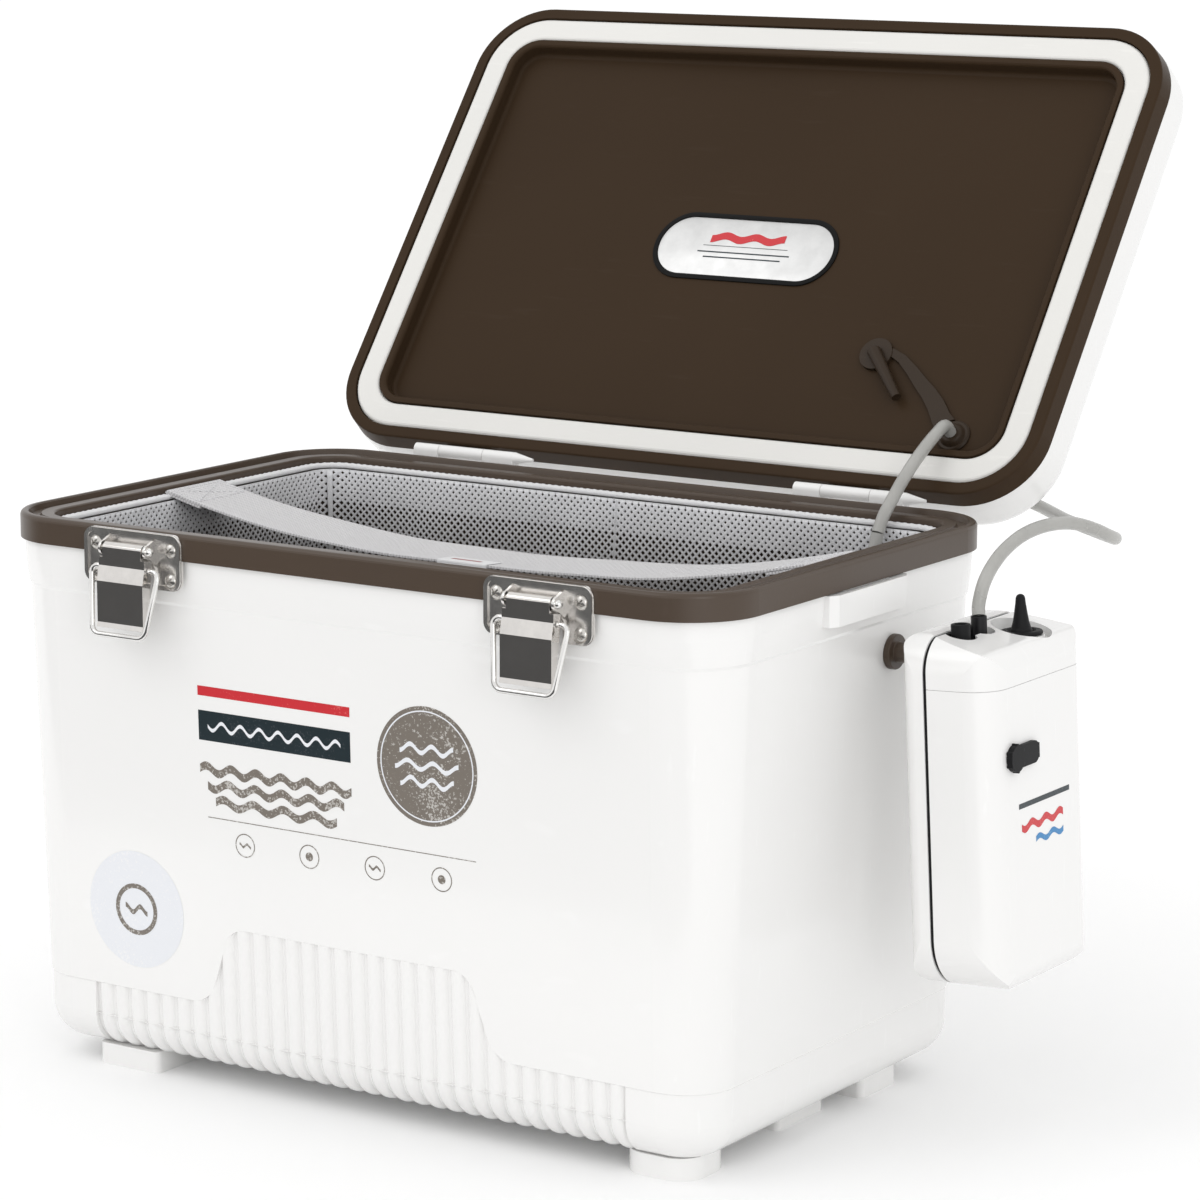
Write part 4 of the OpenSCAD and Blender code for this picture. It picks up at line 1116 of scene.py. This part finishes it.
@dataclass
class AirLine:
    """Hose from the pump through the lid and down into the net. Sizes in millimetres."""

    paint: Paintbox
    diameter: float = 5.6
    collar_top: Point = (17.0, -4.5, 19.5)
    grommet: Pair = (141.0, 90.4)
    grommet_high: float = 34.2
    grommet_low: float = 4.0
    outer_points: Sequence[Point] = (
        (222.5, 26, 225), (223, 29, 233), (224, 35, 240), (225, 44, 245.5), (227, 56, 250), (230, 70, 252),
        (233, 86, 251), (235.5, 101, 247), (236, 115, 242), (233, 128, 238.5), (225, 140, 236.5),
        (213, 151, 236), (200, 161.5, 236), (187, 172, 236), (175, 182.5, 236.5), (163.5, 191, 237.5),
        (152, 195, 239.5), (143.5, 190.5, 242.5))
    drop_points: Sequence[Point] = (
        (140.9, 137.5, 275.5), (140.4, 128, 270.5), (139.6, 118.5, 264), (139, 109.5, 257),
        (138.8, 100.5, 249.5), (138.5, 94.2, 243.5))
    drop_end: Point = (138.2, 90.2, 237)
    tail_points: Sequence[Point] = (
        (137.4, 88.2, 228), (136.2, 87.6, 216), (135, 86.4, 203), (134, 84.4, 189), (133.2, 82.8, 174),
        (132.6, 81.4, 159), (132.2, 80.4, 144), (132, 79.8, 129), (132, 79.6, 114), (132, 79.6, 101))
    stone_top: Point = (132, 79.6, 91)
    cut: int = 20

    @staticmethod
    def smooth(points: Sequence[Vector], steps: int = 4) -> list[Vector]:
        """Catmull-Rom curve through points, in steps between each two."""
        ends = [points[0] * 2 - points[1], *points, points[-1] * 2 - points[-2]]
        line = []
        for i in range(1, len(ends) - 2):
            a, b, c, d = ends[i - 1 : i + 3]
            for k in range(steps):
                t = k / steps
                square, cube = 2 * a - 5 * b + 4 * c - d, 3 * b - a - 3 * c + d
                line.append(0.5 * (2 * b + (c - a) * t + square * t**2 + cube * t**3))
        return [*line, points[-1]]

    def tube(self, name: str, line: Sequence[Vector]) -> Object:
        """Makes a hose along its centreline, in metres."""
        curve = bpy.data.curves.new(name + "_line", "CURVE")
        curve.dimensions = "3D"
        curve.bevel_depth = self.diameter / 2 * MM
        curve.bevel_resolution = 6
        curve.use_fill_caps = True
        spline = curve.splines.new("POLY")
        spline.points.add(len(line) - 1)
        for spot, point in zip(spline.points, line):
            spot.co = (*point, 1.0)
        holder = link_object(name + "_line", curve)
        bpy.context.view_layer.update()
        data = bpy.data.meshes.new_from_object(holder)
        data.name = name
        bpy.data.objects.remove(holder)
        bpy.data.curves.remove(curve)
        return link_mesh(name, data, self.paint.get(Finish.HOSE))

    def stretch(self, name: str, line: list[Vector], bodies: tuple[str, str], node: str) -> None:
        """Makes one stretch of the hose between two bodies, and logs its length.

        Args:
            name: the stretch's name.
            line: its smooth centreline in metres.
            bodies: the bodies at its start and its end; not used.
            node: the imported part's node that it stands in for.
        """
        piece = self.tube(name, line)
        length = sum((b - a).length for a, b in zip(line, line[1:]))
        Finish.HOSE.slot
        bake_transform(piece)
        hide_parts(node)
        log.info("%s is %.0f mm long", piece.name, length * 1000)

    def build(self) -> None:
        """Makes the hose in four stretches, each running from one body to the next."""
        lid = LID.matrix()
        up = (lid.to_3x3() @ Vector((0, 0, 1))).normalized()
        start = PUMP.matrix() @ Vector(self.collar_top)
        high = lid @ Vector((*self.grommet, self.grommet_high))
        low = lid @ Vector((*self.grommet, self.grommet_low))
        join = Vector(self.drop_end) * MM
        outer = self.smooth([start, *(Vector(p) * MM for p in self.outer_points), high + up * 8 * MM, high])
        drop = self.smooth([low, low - up * 6 * MM, *(Vector(p) * MM for p in self.drop_points), join])
        tail = self.smooth([join, *(Vector(p) * MM for p in self.tail_points), Vector(self.stone_top) * MM])
        self.stretch("air_hose_pump", outer[: self.cut + 1], ("pump", "tub"), "hose_outer")
        self.stretch("air_hose_outer", outer[self.cut :], ("tub", "lid"), "hose_outer")
        self.stretch("air_hose_drop", drop, ("lid", "tub"), "hose_drop")
        self.stretch("air_hose_tail", tail, ("tub", "net"), "hose_tail")


# ---------------------------------------------------------------- plain prints


@dataclass
class Prints:
    """Flat prints: plain bands, rings and discs on the box, the lid's plate and the pump. Millimetres."""

    paint: Paintbox
    proud: float = 0.07

    def on_front(self, flat: Vector) -> Vector:
        """Place on the front wall for a flat point (x, height)."""
        return Vector((flat.x, -BOX.wall_y(flat.y) - self.proud, flat.y)) * MM

    def on_pump(self, flat: Vector) -> Vector:
        """Place on the pump's outer face for a flat point (across, up)."""
        return PUMP.matrix() @ Vector((42.5 + self.proud, flat.x, flat.y))

    @staticmethod
    def disc(mesh: Mesh, centre: Pair, radius: float, inner: float = 0.0) -> None:
        """Adds a disc, or a ring when it has an inner radius.

        Args:
            mesh: the print's bmesh.
            centre: middle in the flat.
            radius: outer radius.
            inner: inner radius.
        """
        made = bmesh.ops.create_circle(mesh, cap_ends=True, segments=64, radius=radius)["verts"]
        if inner:
            whole = made[0].link_faces[0]
            bmesh.ops.inset_individual(mesh, faces=[whole], thickness=radius - inner)
            rim = {vert for face in made[0].link_faces for vert in face.verts} | set(made)
            bmesh.ops.delete(mesh, geom=[whole], context="FACES_ONLY")
            for vert in made:
                rim |= {edge.other_vert(vert) for edge in vert.link_edges}
            made = list(rim)
        bmesh.ops.translate(mesh, verts=made, vec=(*centre, 0))

    @staticmethod
    def band(mesh: Mesh, centre: Pair, size: Pair, wave: float = 0.0, waves: float = 3.0) -> None:
        """Adds a straight or wavy band.

        Args:
            mesh: the print's bmesh.
            centre: middle in the flat.
            size: length and thickness.
            wave: height of its waves.
            waves: number of waves.
        """
        made = bmesh.ops.create_grid(mesh, x_segments=120 if wave else 12, y_segments=1, size=0.5)["verts"]
        for vert in made:
            swing = wave * math.sin(vert.co.x * 2 * math.pi * waves)
            vert.co = Vector((vert.co.x * size[0], vert.co.y * size[1] + swing, 0))
        bmesh.ops.translate(mesh, verts=made, vec=(*centre, 0))

    def stamp(self, ground: Ground, name: str, mesh: Mesh, finish: Finish) -> None:
        """Lays a flat print on its surface.

        Args:
            ground: where a flat point goes, the body that carries the print and where its faces look.
            name: the print's name.
            mesh: the flat bmesh, in millimetres.
            finish: its ink.
        """
        place, body, facing = ground
        move_points(mesh, place)
        mesh.normal_update()
        turned = [face for face in mesh.faces if face.normal.dot(facing) < 0]
        bmesh.ops.reverse_faces(mesh, faces=turned)
        seat(to_object(name, mesh, self.paint.get(finish)), body, finish)

    def front(self) -> None:
        """Prints on the front wall."""
        ground = self.on_front, "tub", Vector((0, -1, 0))
        grey, dark, red, pale = (bmesh.new() for _ in range(4))
        self.disc(grey, (43.8, 160.0), 25.2)
        for i, z in enumerate((144.0, 137.0, 130.0)):
            self.band(grey, (-35.0, z), (80.0 - 8 * i, 3.6), 1.5, 6 - i)
        self.band(dark, (-35.0, 163.0), (80.0, 13.0))
        self.band(red, (-35.0, 178.0), (80.0, 4.2))
        self.disc(pale, (-113.0, 76.0), 26.0)
        for i, x in enumerate((-52.0, -18.0, 16.0, 50.0)):
            self.disc(grey, (x, 113.0), 5.2, 4.75)
            if i % 2:
                self.disc(grey, (x, 113.0), 1.9)
            else:
                self.band(grey, (x, 113.0), (6.0, 1.1), 0.7, 1.5)
        self.band(grey, (-2.0, 123.0), (139.0, 0.35))
        self.stamp(ground, "front_print_grey", grey, Finish.PRINT_GREY)
        self.stamp(ground, "front_print_dark", dark, Finish.PRINT_DARK)
        self.stamp(ground, "front_print_red", red, Finish.PRINT_RED)
        self.stamp(ground, "front_print_pale", pale, Finish.PRINT_PALE)
        over = Prints(self.paint, 2 * self.proud)
        upper = over.on_front, *ground[1:]
        white, drop = bmesh.new(), bmesh.new()
        for i, z in enumerate((167.0, 160.0, 153.0)):
            over.band(white, (43.8, z), (32.0 - 5 * abs(i - 1), 2.0), 1.6, 2.5)
        over.disc(white, (43.8, 160.0), 23.4, 22.8)
        over.band(white, (-35.0, 163.0), (70.0, 1.6), 1.8, 7)
        over.disc(drop, (-113.0, 76.0), 11.5, 9.4)
        over.band(drop, (-113.0, 76.0), (12.0, 2.2), 1.4, 1.5)
        over.stamp(upper, "front_print_white", white, Finish.PRINT_PALE)
        over.stamp(upper, "front_print_ring", drop, Finish.PRINT_GREY)

    def pump(self) -> None:
        """Prints on the pump's outer face."""
        ground = self.on_pump, "pump", Vector((1, 0, 0))
        red, blue, dark = (bmesh.new() for _ in range(3))
        self.band(dark, (0.0, -55.0), (44.0, 2.2))
        self.band(red, (-2.0, -64.0), (36.0, 3.0), 1.1, 3)
        self.band(blue, (4.0, -71.0), (24.0, 2.4), 1.0, 2)
        self.stamp(ground, "pump_print_dark", dark, Finish.PRINT_DARK)
        self.stamp(ground, "pump_print_red", red, Finish.PRINT_RED)
        self.stamp(ground, "pump_print_blue", blue, Finish.PRINT_BLUE)

    def on_plate(self, flat: Vector) -> Vector:
        """Place on the lid's plate for a flat point (across, up as the lid stands open)."""
        return LID.matrix() @ Vector((flat.x, 2.5 - flat.y, LID.plate_z - self.proud))

    def plate(self) -> None:
        """Prints on the plate inside the lid."""
        ground = self.on_plate, "lid", LID.matrix().to_3x3() @ Vector((0, 0, -1))
        red, dark = bmesh.new(), bmesh.new()
        self.band(red, (0.0, 5.2), (40.0, 4.0), 1.0, 2.5)
        self.band(dark, (0.0, 0.6), (46.0, 0.3))
        for i, rise in enumerate((-2.8, -5.6)):
            self.band(dark, (0.0, rise), (50.0 - 8 * i, 0.7))
        self.stamp(ground, "plate_print_red", red, Finish.PRINT_RED)
        self.stamp(ground, "plate_print_dark", dark, Finish.PRINT_DARK)

    def build(self) -> None:
        """Makes every print."""
        self.front()
        self.plate()
        self.pump()
        log.info("prints: plain bands, rings and discs on the front, the lid's plate and the pump")


# ---------------------------------------------------------------- box, lid, latches and pump


@dataclass
class Box:
    """Body of the box with its liner, feet, hinges and pump spool."""

    paint: Paintbox

    def build(self) -> None:
        """Dresses the box's nodes."""
        self.paint.dress_all({Finish.WHITE: ["body_shell"], Finish.FOAM: ["body_foam"],
                              Finish.BROWN: ["tub_liner"], Finish.SCREW: ["hinge_pins"]})
        soften(self.paint, "pump_mount", "tub", Finish.BROWN, 0.5)
        soften(self.paint, "pump_mount_screw", "tub", Finish.SCREW, 0.3)
        log.info("box: shell, liner, foam and pump spool")


@dataclass
class Lid:
    """Open lid with its seal, plate, grommet and stopper."""

    paint: Paintbox

    def label(self) -> None:
        """Plate in its dark frame, each a copy of one solid of the node."""
        halves = (("label_plate", Finish.SILVER, False), ("label_frame", Finish.FRAME_DARK, True))
        for name, finish, outer in halves:
            mesh = node_mesh("lid_label_plate")
            reach = max(vert.co.x for vert in mesh.verts)
            border = {vert for vert in mesh.verts if vert.co.x > reach - 2e-4}
            while True:
                grown = border | {edge.other_vert(vert) for vert in border for edge in vert.link_edges}
                if len(grown) == len(border):
                    break
                border = grown
            spare = [vert for vert in mesh.verts if (vert in border) is not outer]
            bmesh.ops.delete(mesh, geom=spare, context="VERTS")
            bmesh.ops.dissolve_limit(mesh, angle_limit=FLAT, verts=mesh.verts, edges=mesh.edges)
            piece = to_object(name, mesh, self.paint.get(finish))
            add_modifier(piece, "BEVEL", width=0.2 * MM, segments=2, limit_method="ANGLE",
                         angle_limit=math.radians(32), harden_normals=True)
            seat(piece, "lid", finish, "" if outer else "lid_label_plate")

    def build(self) -> None:
        """Dresses the lid's nodes."""
        # the lid's liner takes the darker copy of the brown, as painted shade
        self.paint.dress_all({Finish.WHITE: ["lid_shell"], Finish.FOAM: ["lid_foam"],
                              Finish.LID_BROWN_SHADED: ["lid_liner"], Finish.GASKET: ["lid_gasket"],
                              Finish.BROWN_RUBBER: ["hose_grommet"]})
        self.label()
        soften(self.paint, "grommet_stopper", "lid", Finish.BROWN_RUBBER, 0.5)
        log.info("lid: shell, liner, seal, plate and stopper")


@dataclass
class Latches:
    """Two draw latches: plate, lever, wire bail, screws and pins."""

    paint: Paintbox

    def wire(self, side: str) -> None:
        """Puts a copy that is shaded round in the place of the left or right bail."""
        node = f"bail_{side}"
        piece = to_object(f"{node}_wire", node_mesh(node), self.paint.get(Finish.WIRE))
        piece.data.set_sharp_from_angle(angle=math.radians(60))
        seat(piece, node, Finish.WIRE, node)

    def build(self) -> None:
        """Dresses the latches with rounded sheet edges."""
        for side in ("left", "right"):
            soften(self.paint, f"latch_plate_{side}", "tub", Finish.PLATE, 0.35)
            soften(self.paint, f"lever_{side}", f"lever_{side}", Finish.STEEL, 0.3, 6.0)
            self.wire(side)
        soften(self.paint, "latch_screws", "tub", Finish.SCREW, 0.12)
        self.paint.dress("latch_pins", Finish.WIRE)
        log.info("latches: two plates, levers and bails")


@dataclass
class Pump:
    """Clip-on air pump."""

    paint: Paintbox

    def build(self) -> None:
        """Dresses the pump's nodes."""
        self.paint.dress_all({Finish.WHITE: ["pump_back_case", "pump_front_case", "pump_top_cap"],
                              Finish.BLACK_RUBBER: ["pump_seal", "switch_bezel", "switch_boot"],
                              Finish.BLACK: ["air_nozzles", "port_socket"]})
        soften(self.paint, "spare_nozzle_cap", "pump", Finish.BLACK_RUBBER, 0.5)
        soften(self.paint, "hose_collar", "pump", Finish.BLACK, 0.3)
        soften(self.paint, "port_cap", "port_cap", Finish.BLACK_RUBBER, 0.4)
        log.info("pump: case, nozzles, switch and port cap")


# ---------------------------------------------------------------- studio


@dataclass
class Studio:
    """Pale floor, soft light and the camera."""

    camera_place: Point = (1.0273, -1.4775, 0.5464)
    heading: float = 33.85
    pitch: float = 10.74
    roll: float = -0.07
    lens: float = 126.74
    shift: Pair = (0.0282, 0.0036)

    def camera(self) -> None:
        """Puts the camera where the photograph was taken from."""
        data = bpy.data.cameras.new("camera")
        data.lens = self.lens
        data.sensor_width = 36.0
        data.shift_x, data.shift_y = self.shift
        data.clip_start = 0.05
        camera = link_object("camera", data)
        camera.location = self.camera_place
        turns = (90 - self.pitch, self.roll, self.heading)
        camera.rotation_euler = [math.radians(turn) for turn in turns]
        bpy.context.scene.camera = camera

    @staticmethod
    def lamp(name: str, place: Point, size: Pair, power: float) -> None:
        """Adds a soft box that looks at the middle of the object.

        Args:
            name: the lamp's name.
            place: where it stands, in metres.
            size: width and height in metres.
            power: watts.
        """
        data = bpy.data.lights.new(name, "AREA")
        data.shape = "RECTANGLE"
        data.size, data.size_y = size
        data.energy = power
        lamp = link_object(name, data)
        lamp.location = place
        lamp.rotation_euler = (Vector((0, 0, 0.2)) - Vector(place)).to_track_quat("-Z", "Y").to_euler()

    @staticmethod
    def card(place: Point, size: Pair, lean: float) -> None:
        """Lays a dark card before the latches, for polished metal to reflect.

        Args:
            place: middle of the card in metres.
            size: its width and height in metres.
            lean: how far it is turned back from lying flat, in degrees.
        """
        mesh = bmesh.new()
        bmesh.ops.create_grid(mesh, x_segments=1, y_segments=1, size=0.5)
        bmesh.ops.scale(mesh, verts=mesh.verts, vec=(*size, 1))
        bmesh.ops.rotate(mesh, verts=mesh.verts, matrix=Matrix.Rotation(math.radians(lean), 3, "X"))
        bmesh.ops.translate(mesh, verts=mesh.verts, vec=place)
        material, g, shader = start_material("dark_card")
        g.feed(shader, Base_Color=(0.1, 0.1, 0.1, 1), Roughness=1.0, Specular_IOR_Level=0.0)
        piece = to_object("dark_card", mesh, material, smooth=False)
        piece.visible_camera = piece.visible_diffuse = piece.visible_shadow = False

    @staticmethod
    def world(level: float) -> None:
        """White world that lights evenly, and shows as white to the camera and in reflections."""
        world = bpy.data.worlds.new("studio")
        world.use_nodes = True
        world.node_tree.nodes.clear()
        g = Graph(world.node_tree)
        strength = g.span(g.seen(), 0, 1, level, 1.0)
        light = g.add("ShaderNodeBackground", {"Color": (1, 1, 1, 1), "Strength": strength})
        out = g.add("ShaderNodeOutputWorld")
        g.tree.links.new(light.outputs[0], out.inputs[0])
        bpy.context.scene.world = world

    @staticmethod
    def floor(near: float, far: float) -> None:
        """Pale floor that keeps the object's shadow and fades to white further out.

        Args:
            near: glow that the camera sees under the object.
            far: glow that it sees further out.
        """
        mesh = bmesh.new()
        bmesh.ops.create_grid(mesh, x_segments=1, y_segments=1, size=12.0)
        material, g, shader = start_material("studio_floor")
        place = g.place()
        reach = g.add("ShaderNodeVectorMath", {0: place}, operation="LENGTH").outputs["Value"]
        glow = g.maths("MULTIPLY", g.seen(), g.span(reach, 0.25, 0.6, near, far))
        g.feed(shader, Base_Color=(0.93, 0.93, 0.93, 1), Roughness=1.0, Specular_IOR_Level=0.0)
        g.feed(shader, Emission_Color=(1, 1, 1, 1), Emission_Strength=glow)
        piece = to_object("studio_floor", mesh, material, smooth=False)

    def build(self) -> None:
        """Sets up floor, lamps, world and view."""
        self.floor(0.06, 0.14)
        self.card((-0.45, -0.62, 0.125), (1.7, 0.589), 159.0)
        self.world(0.97)
        self.lamp("key", (-1.1, -1.7, 2.3), (1.6, 1.2), 8.0)
        self.lamp("side", (2.0, -1.5, 0.8), (0.8, 1.0), 6.0)
        bpy.context.scene.view_settings.view_transform = "Standard"
        log.info("studio: floor, world and two soft boxes")


def main() -> None:
    """Builds the scene in order."""
    logging.basicConfig(level=logging.INFO, format="%(message)s")
    studio = Studio()
    studio.camera()
    paint = Paintbox()
    AirLine(paint).build()
    NetLiner(paint).build()
    Box(paint).build()
    Lid(paint).build()
    Latches(paint).build()
    Pump(paint).build()
    Prints(paint).build()
    studio.build()


if __name__ == "__main__":
    main()
